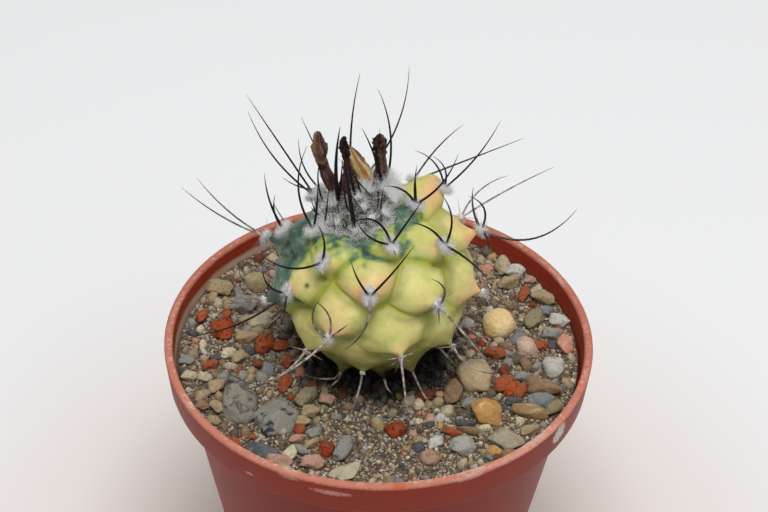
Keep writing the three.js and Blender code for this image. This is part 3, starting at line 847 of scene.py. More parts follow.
def gravel_recipe(shapes: int, subdivisions: int) -> Recipe:
    """The tree that strews grains over a bed and keeps them off the stones.

    Args:
        shapes: How many different grains there are.
        subdivisions: Of the icosphere that each is knapped from.

    Returns:
        The recipe.
    """
    kinds = {key: "Float" for key in ("Spacing", "Smallest", "Largest", "Clearance")}
    kinds |= {"Seed": "Int", "Stones": "Object", "Finish": "Material"}
    recipe = Recipe(f"gravel_{subdivisions}", kinds)
    graph, add, given = recipe.graph, recipe.add, recipe.given
    seed = given("Seed")
    spread = {0: given(), 2: given("Spacing"), 3: 1.6e7, 5: recipe.named("coarse"), 6: seed}
    points = graph.node("GeometryNodeDistributePointsOnFaces", spread, distribute_method="POISSON")
    stones = add("ObjectInfo", given("Stones"), output="Geometry")
    crowded = add("Proximity", stones, output="Distance").below(given("Clearance"))
    points = add("DeleteGeometry", points, crowded, domain="POINT")
    here = add("InputPosition")
    grains = []
    for k in range(shapes):
        ball = graph.node("GeometryNodeMeshIcoSphere", {"Radius": 1.0, "Subdivisions": subdivisions})
        crag = {"Vector": here, "W": 3.7 * k, "Scale": 1.3}
        rough = graph.node("ShaderNodeTexNoise", crag, "Color", noise_dimensions="4D")
        push = graph.vector("SCALE", graph.vector("SUBTRACT", rough, (0.5, 0.5, 0.5)), 1.5)
        broken = graph.node("GeometryNodeSetPosition", {0: ball, "Offset": push})
        grains.append(add("GeometryToInstance", add("ConvexHull", broken)))
    which = recipe.random(0, shapes - 1, seed + 5, "INT")
    angles = recipe.random((0.0, 0.0, 0.0), (6.28, 6.28, 6.28), seed + 7, "FLOAT_VECTOR")
    roll = graph.node("FunctionNodeEulerToRotation", {0: angles})
    share = recipe.random(0.0, 1.0, seed + 9) ** 2.2
    size = given("Smallest") + share * (given("Largest") - given("Smallest"))
    strewn = add("InstanceOnPoints", points, None, graph.join(*grains), True, which, roll, size)
    flat = recipe.random((0.8, 0.8, 0.45), (1.25, 1.0, 0.8), seed + 11, "FLOAT_VECTOR")
    strewn = graph.node("GeometryNodeScaleInstances", {0: strewn, "Scale": flat})
    loose = recipe.stored(strewn, "tone", recipe.random(0.0, 1.0, seed + 13))
    recipe.end(add("SetMaterial", loose, None, given("Finish")))
    return recipe


def seat(piece: Thing, slot: str, *nodes: str) -> Thing:
    """Hands a finished piece to the frame.

    Args:
        piece: The object, in place.
        slot: Its material slot; not used.
        *nodes: The CAD nodes that it replaces.

    Returns:
        The piece.
    """
    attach(piece, BODY)
    if nodes:
        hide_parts(*nodes)
    LOG.info("%s: %d faces for %s", piece.name, len(piece.data.polygons), ", ".join(nodes) or "no node")
    return piece


# The plant


@dataclass(frozen=True)
class Tubercle:
    """One tubercle: its place in the spiral and the frame that its dome is measured in."""

    number: int
    direction: Array
    north: Array
    east: Array
    spacing: float
    reach: float
    normal: Array


@dataclass(frozen=True)
class SkinField:
    """What the spiral rule says at each direction from the plant's middle."""

    fraction: Array
    edge: Array
    along: Array
    point: Array
    polar: Array
    nearest: Array


Swelling = tuple[Triple, float, float]


@dataclass
class Globe:
    """The plant's flattened globe and the spiral rule of its tubercles, in millimetres and degrees."""

    centre: Triple = (-0.65, 0.45, 57.6)
    lean: Pair = (-0.172, 0.019)
    radius: float = 14.2
    half_height: float = 11.7
    first: int = -18
    last: int = 31
    crown_last: int = -11
    woolly_last: int = 18
    start: float = 272.6
    divergence: float = 150.83
    polar_at_zero: float = 58.4
    origin: float = 18.85
    power: float = 1.146
    polar_limit: float = 146.0
    limit_sharpness: float = 12.0
    depth: float = 3.9
    dome_share: float = 0.53
    dome_radius: float = 0.64
    dome_power: float = 0.8
    dome_softness: float = 10.0
    groove_width: float = 0.065
    groove_dip: float = 0.2
    chin_widths: Pair = (0.25, 0.08)
    chin_broad: float = 0.6
    hollow_at: float = -0.27
    hollow_size: Pair = (0.36, 0.13)
    hollow_depth: float = 0.8
    least_spacing: float = 0.42
    least_young_spacing: float = 0.2
    dome_rise: float = 0.25
    chin_undercut: float = 1.5
    smooth_to: float = 16.0
    crown_reach: float = 24.0
    wool_thickness: float = 0.8
    soil_top: float = 45.3
    rim_height: float = 48.0
    rim_reach: float = 24.4
    headroom: float = 1.4
    nudges: Mapping[int, Pair] = field(default_factory=dict)
    swellings: tuple[Swelling, ...] = ()
    tubercles: list[Tubercle] = field(init=False)

    def __post_init__(self) -> None:
        """Works out the plant's axes and its tubercles."""
        self.middle = np.array(self.centre)
        self.axis = unit(np.array([*self.lean, 1.0]))
        self.right = unit(RIGHT - self.axis * self.axis[0])
        self.back = np.cross(self.axis, self.right)
        self.tubercles = [self._tubercle(n) for n in range(self.first, self.last + 1)]
        keys = ("direction", "north", "east", "spacing", "reach")
        read = (np.array([getattr(t, key) for t in self.tubercles]) for key in keys)
        self.tips, self.norths, self.easts, self.spacings, reaches = read
        self.peaks = 0 * reaches
        self.peaks = np.maximum(0, reaches - self.skin(self.tips).fraction)

    def polar(self, number: float) -> float:
        """How far from the growing point a tubercle stands, in degrees."""
        raw = self.polar_at_zero * (max(0.0, number + self.origin) / self.origin) ** self.power
        sharp = self.limit_sharpness
        return raw / (1 + (raw / self.polar_limit) ** sharp) ** (1 / sharp)

    def direction(self, polar: float, azimuth: float) -> Array:
        """The direction at a polar angle and an azimuth, in the plant's own axes."""
        a, b = math.radians(polar), math.radians(azimuth)
        return np.array([math.sin(a) * math.cos(b), math.sin(a) * math.sin(b), math.cos(a)])

    def place(self, local: Array) -> Array:
        """World places of points in the plant's own axes, where the ellipsoid has radius 1."""
        x, y, z = (np.asarray(local)[..., i, None] for i in range(3))
        return self.middle + self.radius * (x * self.right + y * self.back) + self.half_height * z * self.axis

    def local(self, place: Array) -> Array:
        """Places in the plant's own axes."""
        away = np.asarray(place) - self.middle
        sides = [away @ self.right / self.radius, away @ self.back / self.radius]
        return np.stack([*sides, away @ self.axis / self.half_height], axis=-1)

    def normal(self, direction: Array) -> Array:
        """The ellipsoid's world normal in each direction."""
        x, y, z = (np.asarray(direction)[..., i, None] for i in range(3))
        return unit((x * self.right + y * self.back) / self.radius + z * self.axis / self.half_height)

    def _tubercle(self, number: int) -> Tubercle:
        """Works out one tubercle by the spiral rule."""
        azimuth = self.start + self.divergence * number
        tip = self.place(self.direction(self.polar(number), azimuth))
        aside, rise = self.nudges.get(number, (0.0, 0.0))
        local = self.local(tip + aside * RIGHT + rise * RISE)
        direction = unit(local)
        north = unit(UP - direction * direction[2])
        band = math.radians(self.polar(number + 0.5) - self.polar(number - 0.5))
        sine = math.sqrt(1 - direction[2] ** 2)
        least = self.least_spacing if number > 0 else self.least_young_spacing
        return Tubercle(
            number=number,
            direction=direction,
            north=north,
            east=np.cross(north, direction),
            spacing=max(least, math.sqrt(2 * math.pi * sine * band)),
            reach=float(np.linalg.norm(local)),
            normal=self.normal(direction),
        )

    def skin(self, directions: Array, warp: Array | float = 0.0) -> SkinField:
        """How far out the skin lies, in parts of the ellipsoid, with what else the rule gives.

        Args:
            directions: Unit directions in the plant's axes, one a row.
            warp: Makes the grooves wander.

        Returns:
            The field there.
        """

        def read(steps: Array, own: Array) -> Array:
            """How far steps go each tubercle's own way, in parts of its spacing."""
            return np.einsum("ntk,tk->nt", steps, own) / self.spacings

        away = directions[:, None] - self.tips
        across, along = read(away, self.easts), read(away, self.norths)
        bent = away + np.reshape(warp, (-1, 1, 3)) if np.ndim(warp) else away
        far = 9.0 * (directions @ self.tips.T < 0)
        squares = read(bent, self.easts) ** 2 + (read(bent, self.norths) - self.dome_rise) ** 2 + far**2
        nearest = squares.argmin(axis=1)
        rows = np.arange(len(directions))
        two = np.sqrt(np.partition(squares, 1, axis=1)[:, :2])
        edge = two[:, 1] - two[:, 0]
        polar = np.degrees(np.arccos(np.clip(directions[:, 2], -1, 1)))
        old = ease(polar, 78, 114)
        blended = -np.log(np.exp(-self.dome_softness * squares).sum(axis=1) + 1e-9) / self.dome_softness
        dip = self.groove_dip * (1 - 0.55 * old) * hill(edge, self.groove_width)
        rounded_off = np.clip(1 - blended / self.dome_radius**2, 0, None) + 0.02
        dome = (rounded_off**self.dome_power - dip) * (1 - 0.5 * old)
        grown = ease(polar, self.smooth_to, self.crown_reach)
        width = np.hypot(directions[:, 0], directions[:, 1])
        size = np.clip(np.sqrt(width), 0.3, 1)
        depth = self.depth / self.radius * size * (1 - 0.38 * old)
        base = 1 - depth * (1 - self.dome_share * dome * grown)
        drop = np.where(along < 0, along * self.chin_undercut, along)
        point = np.hypot(across, drop) + far
        broad, sharp = (np.exp(-point / w) for w in self.chin_widths)
        chin = (self.peaks * (self.chin_broad * broad + (1 - self.chin_broad) * sharp)).sum(axis=1)
        wide, tall = self.hollow_size
        hollow = np.exp(-((across / wide) ** 2) - ((along - self.hollow_at) / tall) ** 2 - far).sum(axis=1)
        chin = chin - self.hollow_depth / self.radius * hollow * ease(polar, 30, 60) * (1 + 0.7 * old)
        fraction = base + chin * grown
        for way, wide, rise in self.swellings:
            gap = np.linalg.norm(directions - np.array(way), axis=1)
            fraction = fraction + rise / self.radius * hill(gap, wide)
        return SkinField(fraction, edge, along[rows, nearest], point[rows, nearest], polar, nearest)

    def skin_place(self, direction: Array, lift: float = 0.0) -> Array:
        """The world place over the skin in one direction, lifted along its normal."""
        fraction = self.skin(direction[None]).fraction[0]
        return self.place(direction * fraction) + lift * self.normal(direction)

    def kept(self, places: Array, clearance: Array, over_wool: bool) -> Array:
        """Moves places on a spine out of the skin, the crown's wool, the gravel and the rim.

        Args:
            places: Along the spine.
            clearance: The room that each needs.
            over_wool: Whether to stay above the crown's wool.

        Returns:
            The places, moved where they have to be.
        """
        local = self.local(places)
        directions = unit(local)
        field_here = self.skin(directions)
        in_wool = field_here.polar < self.crown_reach + 3
        wool = np.where(in_wool & over_wool, self.wool_thickness, 0.0)
        least = field_here.fraction + (clearance + wool) / self.radius
        reach = np.maximum(np.linalg.norm(local, axis=1), least)
        clear = np.where(clearance[:, None] > 0, self.place(directions * reach[:, None]), places)
        out = np.hypot(clear[:, 0], clear[:, 1]) > self.rim_reach
        floor = np.where(out, self.rim_height, self.soil_top) + self.headroom
        clear[:, 2] = np.where(clearance > 0, np.maximum(clear[:, 2], floor), clear[:, 2])
        return clear


@dataclass
class Strands:
    """Spines as chains of points, which a recipe turns into tapered tubes.

    A row holds a point's place, its thickness, its share of the spine's length and its age.
    """

    rows: list[Array] = field(default_factory=list)

    def add(self, path: Array, radius: float, age: float) -> None:
        """Adds one spine.

        Args:
            path: Its middle line, from root to tip.
            radius: Half its thickness near the root.
            age: From 0, young and black, to 1, old and grey.
        """
        t = np.linspace(0, 1, len(path))
        taper = radius * ((1 - t**2.1) * 0.88 + 0.12) * (1 + 0.3 * np.exp(-t / 0.05))
        self.rows.append(np.column_stack([path, taper * MM, t, np.full(len(path), age)]))

    def with_pad(
        self,
        name: str,
        pad: Array,
        faces: Sequence[Sequence[int]],
        pad_age: float = 0.0,
        coat: Array | float = 1.0,
        soot: Array | float = 0.0,
    ) -> Thing:
        """The raw object that the woolly recipe starts from.

        Args:
            name: Its name.
            pad: The wool pad's vertices.
            faces: Its faces.
            pad_age: From 0 for white to 1 for old brown wool.
            coat: How thickly each vertex grows hair.
            soot: How dark each vertex is, as painted shade between the crown's tufts.

        Returns:
            The pad's faces with the strands' loose edges.
        """
        edges = []
        start = len(pad)
        for path in self.rows:
            edges += [(start + i, start + i + 1) for i in range(len(path) - 1)]
            start += len(path)
        points, (thickness, along, age) = np.vstack(self.rows)[:, :3], np.vstack(self.rows)[:, 3:].T
        marks = {"spine": (0, 1), "thickness": (0, thickness), "along": (0, along), "age": (pad_age, age)}
        marks |= {"hair": (0, 0), "coat": (coat, 0), "soot": (soot, 0)}
        here, there = np.zeros(len(pad)), np.zeros(len(points))
        attributes = {key: np.concatenate([here + a, there + b]) for key, (a, b) in marks.items()}
        return mesh_object(name, np.vstack([pad, points]), faces, attributes, edges)


Spine = Triple


@dataclass
class Spination:
    """Where each areole's spines go: read from the photo in front, by rule behind."""

    globe: Globe
    seen: Mapping[int, Sequence[Spine]]
    base_radius: float = 0.155
    stout_radius: float = 0.18
    fine_radius: float = 0.095
    fine_length: float = 3.4
    clearance: float = 0.55
    unseen_bow: float = 0.5
    radial_count: int = 6

    def age(self, number: int) -> float:
        """How grey an areole's spines have gone, from 0 to 1."""
        return float(ease(number, -3, 15))

    def tip_offset(self, normal: Array, aside: float, rise: float) -> Array:
        """The step to a tip that was read in the picture.

        Args:
            normal: The tubercle's normal.
            aside: Millimetres to the right.
            rise: Millimetres up.

        Returns:
            The step, leaned towards the normal along the line of sight.
        """
        flat = aside * RIGHT + rise * RISE
        length = np.linalg.norm(flat)
        along = max(flat @ normal, 0.25 * length)
        lean = (normal @ SIGHT) * length * length / along
        return flat + SIGHT * np.clip(lean, -0.6 * length, 0.8 * length)

    def path(self, base: Array, offset: Array, bow: float, over_wool: bool) -> Array:
        """The middle line of one spine.

        Args:
            base: Its root.
            offset: The step to its tip.
            bow: How far its middle stands off the straight line.
            over_wool: Whether it stays above the crown's wool.

        Returns:
            Points from root to tip.
        """
        side = unit(np.cross(SIGHT, offset))
        length = np.linalg.norm(offset)
        t = np.linspace(0, 1, int(np.clip(round(length * 1.6), 6, 18)))
        raw = bezier(base, base + offset / 2 + 2 * bow * side, base + offset, t)
        return self.globe.kept(raw, self.clearance * np.minimum(1, 4 * t), over_wool)

    def unseen(self, tubercle: Tubercle, random: Random) -> list[Array]:
        """Steps to the tips of spines that the photo doesn't show."""
        normal = self.globe.normal(tubercle.direction)
        north = unit(UP - normal * normal[2])
        east = np.cross(north, normal)

        def toward(up: float, side: float, length: float, out: float) -> Array:
            """One spine's step, a little off the rule."""
            jitter = 0.3 * (random.random(2) - 0.5)
            way = unit(north * (up + jitter[0]) + east * (side + jitter[1]) + normal * out)
            return way * length * (0.9 + 0.2 * random.random())

        outer = toward(-0.15, 0, 10.5, 1)
        if tubercle.number > self.globe.woolly_last:
            return [outer]
        return [outer, toward(0.8, 0.1, 7, 0.9), toward(0.1, 1, 5.5, 0.8), toward(0.1, -1, 5.5, 0.8)]

    def main(self, strands: Strands, tubercle: Tubercle, base: Array, random: Random) -> None:
        """Adds an areole's strong spines to the strands."""
        number = tubercle.number
        in_crown = number <= self.globe.crown_last
        age = self.age(number)
        if number not in self.seen:
            for offset in self.unseen(tubercle, random):
                strands.add(self.path(base, offset, self.unseen_bow, True), self.base_radius, age)
            return
        behind = float(ease(base[1], 1.0, 6.0))
        for aside, rise, bow in self.seen[number]:
            offset = self.tip_offset(tubercle.normal, aside, rise)
            short = np.linalg.norm(offset) < self.fine_length
            radius = self.stout_radius if in_crown else self.fine_radius if short else self.base_radius
            weathered = min(1.0, age + 0.5 * float(ease(-rise, 5, 6.5)) + 0.15 * behind)
            strands.add(self.path(base, offset, bow, not in_crown), radius * (1 - 0.18 * behind), weathered)

    def radials(self, strands: Strands, tubercle: Tubercle, base: Array, random: Random) -> None:
        """Adds an areole's short fine spines, which lie out over the skin.

        Args:
            strands: What they are added to.
            tubercle: The areole's.
            base: Their root.
            random: The source of chance.
        """
        side = np.cross(tubercle.normal, unit(np.cross(UP, tubercle.normal)))
        other = np.cross(tubercle.normal, side)
        for i in range(self.radial_count):
            angle = 2 * math.pi * (i + 0.6 * random.random()) / self.radial_count
            flat = side * math.cos(angle) + other * math.sin(angle)
            step = unit(flat + tubercle.normal * (0.25 + 0.4 * random.random())) * (1.5 + 1.5 * random.random())
            path = self.path(base, step, 0.25 * (random.random() - 0.5), True)
            strands.add(path, 0.045, 1.0)


@dataclass
class PlantBody:
    """The plant's one grown solid: its tubercled globe, which runs down into a taproot."""

    globe: Globe
    fineness: int = 7
    wander: float = 0.085
    wander_pitch: float = 2.2
    wander_seed: int = 11
    neck: tuple[Pair, ...] = ((5.6, 47.1), (5.2, 42.3), (3.2, 32.0), (1.6, 24.0), (0.0, 23.3))
    neck_from: float = 148.0
    neck_to: float = 156.0
    green_sector: float = 162.0
    green_half_width: float = 49.0
    ring_reach: float = 30.5
    clear_side: float = 25.0
    flush: Mapping[int, float] = field(default_factory=dict)
    speck: Triple = (-8.79, -7.34, 61.92)

    def build(self) -> Thing:
        """Makes the body and its skin.

        Returns:
            The piece.
        """
        directions, faces = sphere(self.fineness)
        noise.seed_set(self.wander_seed)
        warp = np.array([noise.noise_vector(Vector(d) * self.wander_pitch)[:] for d in directions])
        here = self.globe.skin(directions, self.wander * warp)
        skin = self.globe.place(directions * here.fraction[:, None])
        skin += 0.05 * fractal(skin, 0.9, 4)[:, None] * self.globe.normal(directions)
        into_root = ease(here.polar, self.neck_from, self.neck_to)[:, None]
        points = skin * (1 - into_root) + self._root(directions, here.polar) * into_root
        skin = SkinFinish("variegated_skin", 0.5, 0.45).material()
        return mesh_object("plant_body", points, faces, self._patterns(directions, here, points), material=skin)

    def _root(self, directions: Array, polar: Array) -> Array:
        """Places down the root's neck and the taproot, by polar angle."""
        path = np.array(self.neck)
        run = np.concatenate([[0], np.cumsum(np.linalg.norm(np.diff(path, axis=0), axis=1))])
        share = np.clip((polar - self.neck_to) / (180 - self.neck_to), 0, 1) * run[-1]
        radius = np.interp(share, run, path[:, 0])
        height = np.interp(share, run, path[:, 1])
        azimuth = np.arctan2(directions[:, 1], directions[:, 0])
        return np.stack([radius * np.cos(azimuth), radius * np.sin(azimuth), height], axis=1)

    def _patterns(self, directions: Array, here: SkinField, points: Array) -> dict[str, Array]:
        """Where the skin is grooved, blushed, green, olive in the valleys with painted shade, olive with painted shade
        under the tips and underneath, or corky and darkened with painted shade.

        Args:
            directions: Unit directions in the plant's axes.
            here: The rule's field there.
            points: The skin's places.

        Returns:
            A number from 0 to 1 for each vertex, by name.
        """
        azimuth = np.degrees(np.arctan2(directions[:, 1], directions[:, 0]))
        turn = np.abs((azimuth - self.green_sector + 180) % 360 - 180)
        patchy = fractal(directions, 2.3, 4, seed=1)
        streaky = fractal(directions * [1, 1, 0.45], 6.0, 3, seed=2)
        low = ease(here.polar, 84, 140)
        fading = 0.7 + 0.8 * fractal(directions, 2.0, 2, seed=5)
        groove = hill(here.edge, 0.14) * ease(here.polar, 26, 34) * (1 - 0.5 * low)
        groove = groove * np.clip(fading, 0, 1)
        width = self.green_half_width * (1 - 0.35 * ease(here.polar, 60, 115))
        sector = 1 - ease(turn + 14 * patchy, width - 12, width + 10)
        sector = sector * (1 - 0.5 * ease(here.polar, 95, 130))
        clear = 9 * hill(azimuth - self.clear_side, 34)
        tongue = 5 * hill(azimuth + 40, 22)
        reach = self.ring_reach - clear + tongue + 6 * patchy + 10 * np.maximum(streaky, 0) + 16 * groove
        ring = 1 - ease(here.polar, reach - 7, reach + 7)
        ring = ring * (1 - 0.55 * ease(fractal(directions, 7.0, 3, seed=7), 0.02, 0.25))
        chance = 0.1 + 0.7 * np.random.default_rng(17).random(len(self.globe.tubercles))
        for k, tubercle in enumerate(self.globe.tubercles):
            chance[k] = self.flush.get(tubercle.number, chance[k])
        flushed = chance[here.nearest]
        domes = flushed * hill(here.point, 0.44) * (1 + 0.9 * patchy)
        blush = np.maximum(0.95 * np.exp(-here.point / 0.2), domes)
        # Painted shade below each tip and over the underside.
        under = ease(-here.along, 0.08, 0.4) * 0.6 + 0.85 * ease(here.polar, 92, 128)
        speck = hill(np.linalg.norm(points - np.array(self.speck), axis=1), 0.3)
        # Corky neck and speck; the neck's dark colour is also painted shade under the globe.
        cork = np.maximum(speck, ease(here.polar + 5 * streaky, 130, 146))
        return {
            "groove": groove,
            # The valleys between domes: partly green skin, partly painted shade.
            "valley": hill(here.edge, 0.4) * ease(here.polar, 30, 50),
            "blush": blush * (1 - 0.75 * low),
            "under": np.clip(under, 0, 1),
            "green": np.maximum(sector, ring),
            "tender": 1 - ease(here.polar, reach, reach + 22),
            "cork": cork,
        }


@dataclass
class Woolly:
    """What the areoles and the crown share: where they stand, their spines and how their wool grows."""

    globe: Globe
    spination: Spination
    recipe: Recipe
    wool: Material
    horn: Material

    def grown(self, raw: Thing, hair: Mapping[str, float], slot: str, node: str) -> None:
        """Grows a raw pad's hairs and spines, and hands the piece to the frame."""
        seat(self.recipe.cook(raw, {**hair, "Wool": self.wool, "Spine": self.horn}), slot, node)


@dataclass
class Areoles(Woolly):
    """The woolly cushions on the tubercles' points, with the spines that are rooted in them."""

    gap: float = -0.08
    width: float = 0.7
    height: float = 1.06
    thickness: float = 0.36

    def build(self) -> None:
        """Makes one piece for each woolly areole, and one for the bare areoles' spines."""
        random = np.random.default_rng(31)
        grown = [t for t in self.globe.tubercles if t.number > self.globe.crown_last]
        count = self.globe.woolly_last - self.globe.crown_last
        for i, tubercle in enumerate(grown[:count]):
            self._woolly(tubercle, i + 1, random)
        self._bare(grown[count:], random)

    def _pad(self, tubercle: Tubercle, middle: Array, share: float) -> tuple[Array, Array]:
        """A lumpy wool cushion on a tubercle's point."""
        ball, faces = sphere(3)
        lumps = 1 + 0.5 * fractal(ball, 1.9, 3, seed=tubercle.number)[:, None]
        local = ball * lumps * [self.width * share, self.height * share, self.thickness * (0.5 + 0.5 * share)]
        up = np.cross(tubercle.normal, tubercle.east)
        return middle + local @ np.stack([tubercle.east, unit(up), tubercle.normal]), faces

    def _woolly(self, tubercle: Tubercle, order: int, random: Random) -> None:
        """One areole: its pad, wool and spines."""
        number = tubercle.number
        age = self.spination.age(number)
        middle = self.globe.skin_place(tubercle.direction) + tubercle.normal * (self.gap + self.thickness * 0.3)
        strands = Strands()
        self.spination.main(strands, tubercle, middle, random)
        if number >= 2:
            self.spination.radials(strands, tubercle, middle, random)
        pad, faces = self._pad(tubercle, middle, 1.0 - 0.62 * float(ease(number, 2, 13)))
        name = f"areole_wool_{order:02d}"
        raw = strands.with_pad(name, pad, faces, float(ease(number, 3, 14)))
        hair = {"Density": 1.3e8 * (1 - 0.6 * age), "Length": (0.7 - 0.3 * age) * MM, "Width": 0.02}
        self.grown(raw, {**hair, "Seed": 10 * order}, "areole_wool", f"areole_{order:02d}")

    def _bare(self, bare: Sequence[Tubercle], random: Random) -> None:
        """The spines of the oldest areoles, which have lost their wool."""
        strands = Strands()
        for tubercle in bare:
            fraction = self.globe.skin(tubercle.direction[None]).fraction[0]
            base = self.globe.place(tubercle.direction * (fraction - 0.06))
            self.spination.main(strands, tubercle, base, random)
        pad, faces = self._pad(bare[0], self.globe.skin_place(bare[0].direction), 0.45)
        raw = strands.with_pad("old_spines", pad, faces, 1.0)
        hair = {"Density": 1e6, "Length": 0.5 * MM, "Width": 0.02, "Seed": 5}
        self.grown(raw, hair, "areole_wool", "stem")


CrownSpine = tuple[Pair, Pair, float, float]
Tuft = tuple[Pair, float, float]


@dataclass
class CrownWool(Woolly):
    """The tufted felt over the growing point, with the young spines that stand in it."""

    viewpoint: Viewpoint
    spines: Sequence[CrownSpine]
    tufts: Sequence[Tuft]
    hidden_tufts: int = 9
    gap: float = 0.1
    thickness: float = 0.9
    tuft_rise: float = 1.0
    bare_side: float = -12.0
    wide_side: float = 52.0
    wide_share: float = 0.24
    bare_share: float = 0.3
    rings: int = 30
    sides: int = 96
    young: int = 60

    def build(self) -> None:
        """Makes the crown."""
        random = np.random.default_rng(8)
        strands = Strands()
        for tubercle in self.globe.tubercles:
            if tubercle.number <= self.globe.crown_last and tubercle.number in self.spination.seen:
                base = self.globe.skin_place(tubercle.direction, 0.4)
                self.spination.main(strands, tubercle, base, random)
        for spine in self.spines:
            self._seen_spine(strands, spine)
        self._young_spines(strands, random)
        pad, faces, coat, soot = self._felt(self._tuft_places(random))
        raw = strands.with_pad("crown_felt", pad, faces, coat=coat, soot=soot)
        hair = {"Density": 6e7, "Length": 1.25 * MM, "Width": 0.022, "Seed": 77}
        self.grown(raw, hair, "crown_wool", "crown_wool")

    def _seen_spine(self, strands: Strands, spine: CrownSpine) -> None:
        """Adds a stout spine by where the photo shows its root and its tip."""
        root, tip, bow, radius = spine
        base, aside, rise = self.viewpoint.rooted(root, tip, self.globe)
        normal = self.globe.normal(unit(self.globe.local(base)))
        offset = self.spination.tip_offset(normal, aside, rise)
        strands.add(self.spination.path(base, offset, bow, False), radius, 0.0)

    def _young_spines(self, strands: Strands, random: Random) -> None:
        """Short dark spines all over the felt, leaning outwards and up."""
        for _ in range(self.young):
            polar = self.globe.crown_reach * random.random() ** 0.6 * 0.98
            azimuth = 360 * random.random()
            direction = self.globe.direction(polar, azimuth)
            base = self.globe.skin_place(direction, 0.3)
            lean = unit(self.globe.normal(direction) + 1.5 * (random.random(3) - 0.5) + 0.25 * UP)
            length = 1.6 + 2.6 * random.random() ** 1.6
            path = bezier(
                base,
                base + 0.5 * length * unit(lean + 0.5 * (random.random(3) - 0.5)),
                base + length * unit(lean + 0.5 * UP),
                np.linspace(0, 1, 7),
            )
            strands.add(path, 0.045 + 0.05 * random.random() ** 2, 0.0)

    def _tuft_places(self, random: Random) -> tuple[Array, Array]:
        """Where the tufts stand, seen ones and those behind, with how wide and how tall they are."""
        places = [self.viewpoint.on_globe(seen, self.globe) for seen, *_ in self.tufts]
        sizes = [(width, rise) for _, width, rise in self.tufts]
        for i in range(self.hidden_tufts):
            polar = self.globe.crown_reach * (0.35 + 0.6 * random.random())
            azimuth = 15 + 150 * (i + random.random()) / self.hidden_tufts
            places.append(self.globe.skin_place(self.globe.direction(polar, azimuth)))
            width = 0.8 + 0.5 * random.random()
            sizes.append((width, width))
        return np.array(places), np.array(sizes)

    def _felt(self, tufts: tuple[Array, Array]) -> tuple[Array, list[list[int]], Array, Array]:
        """A closed lumpy cap that follows the skin.

        Args:
            tufts: Their places, and how wide and tall they are.

        Returns:
            Its vertices and faces, and how hairy and how dark each vertex is.
        """
        places, sizes = tufts
        shares = np.linspace(0, 1, self.rings)
        profile = [*((s, 0.0) for s in shares), *((s, 1.0) for s in shares[::-1])]
        points, faces = lathe(profile, self.sides)
        made = np.empty_like(points)
        tufted = np.zeros(len(points))
        rim = np.hypot(points[:, 0], points[:, 1])
        for i, (x, y, top) in enumerate(points):
            azimuth = math.degrees(math.atan2(y, x))
            drawn_in = 1 - self.bare_share * hill(azimuth - self.bare_side, 30)
            drawn_in += self.wide_share * hill(azimuth - self.wide_side, 26)
            drawn_in += 0.05 * math.sin(math.radians(7 * azimuth)) + 0.04 * math.sin(math.radians(17 * azimuth))
            direction = self.globe.direction(self.globe.crown_reach * drawn_in * rim[i], azimuth)
            lift = self.gap * (0.3 + 0.7 * (1 - rim[i]))
            if top > 0.5:
                skin = self.globe.skin_place(direction)
                away = np.linalg.norm(places - skin, axis=1) / sizes[:, 0]
                tufted[i] = min(1.0, np.exp(-(away**2) * 2).sum())
                tall = (sizes[:, 1] ** 3 * np.exp(-(away**2) * 2)).sum() ** (1 / 3)
                lumpy = 0.35 * noise.fractal(Vector(direction) * 9.0, 1.0, 2.0, 3)
                slope = math.sqrt(max(0.0, 1 - rim[i] ** 3))
                lift += slope * (self.thickness + lumpy + self.tuft_rise * tall)
            made[i] = self.globe.skin_place(direction, lift)
        on_top = points[:, 2] > 0.5
        fringe = ease(rim, 0.84, 0.98)
        # Painted shade on the felt between tufts, lighter at the fringe.
        soot = (0.97 - 0.95 * ease(tufted, 0.1, 0.6)) * (1 - 0.35 * fringe)
        return made, faces, on_top * (0.1 + 0.9 * np.maximum(tufted, 0.35 * fringe)), soot


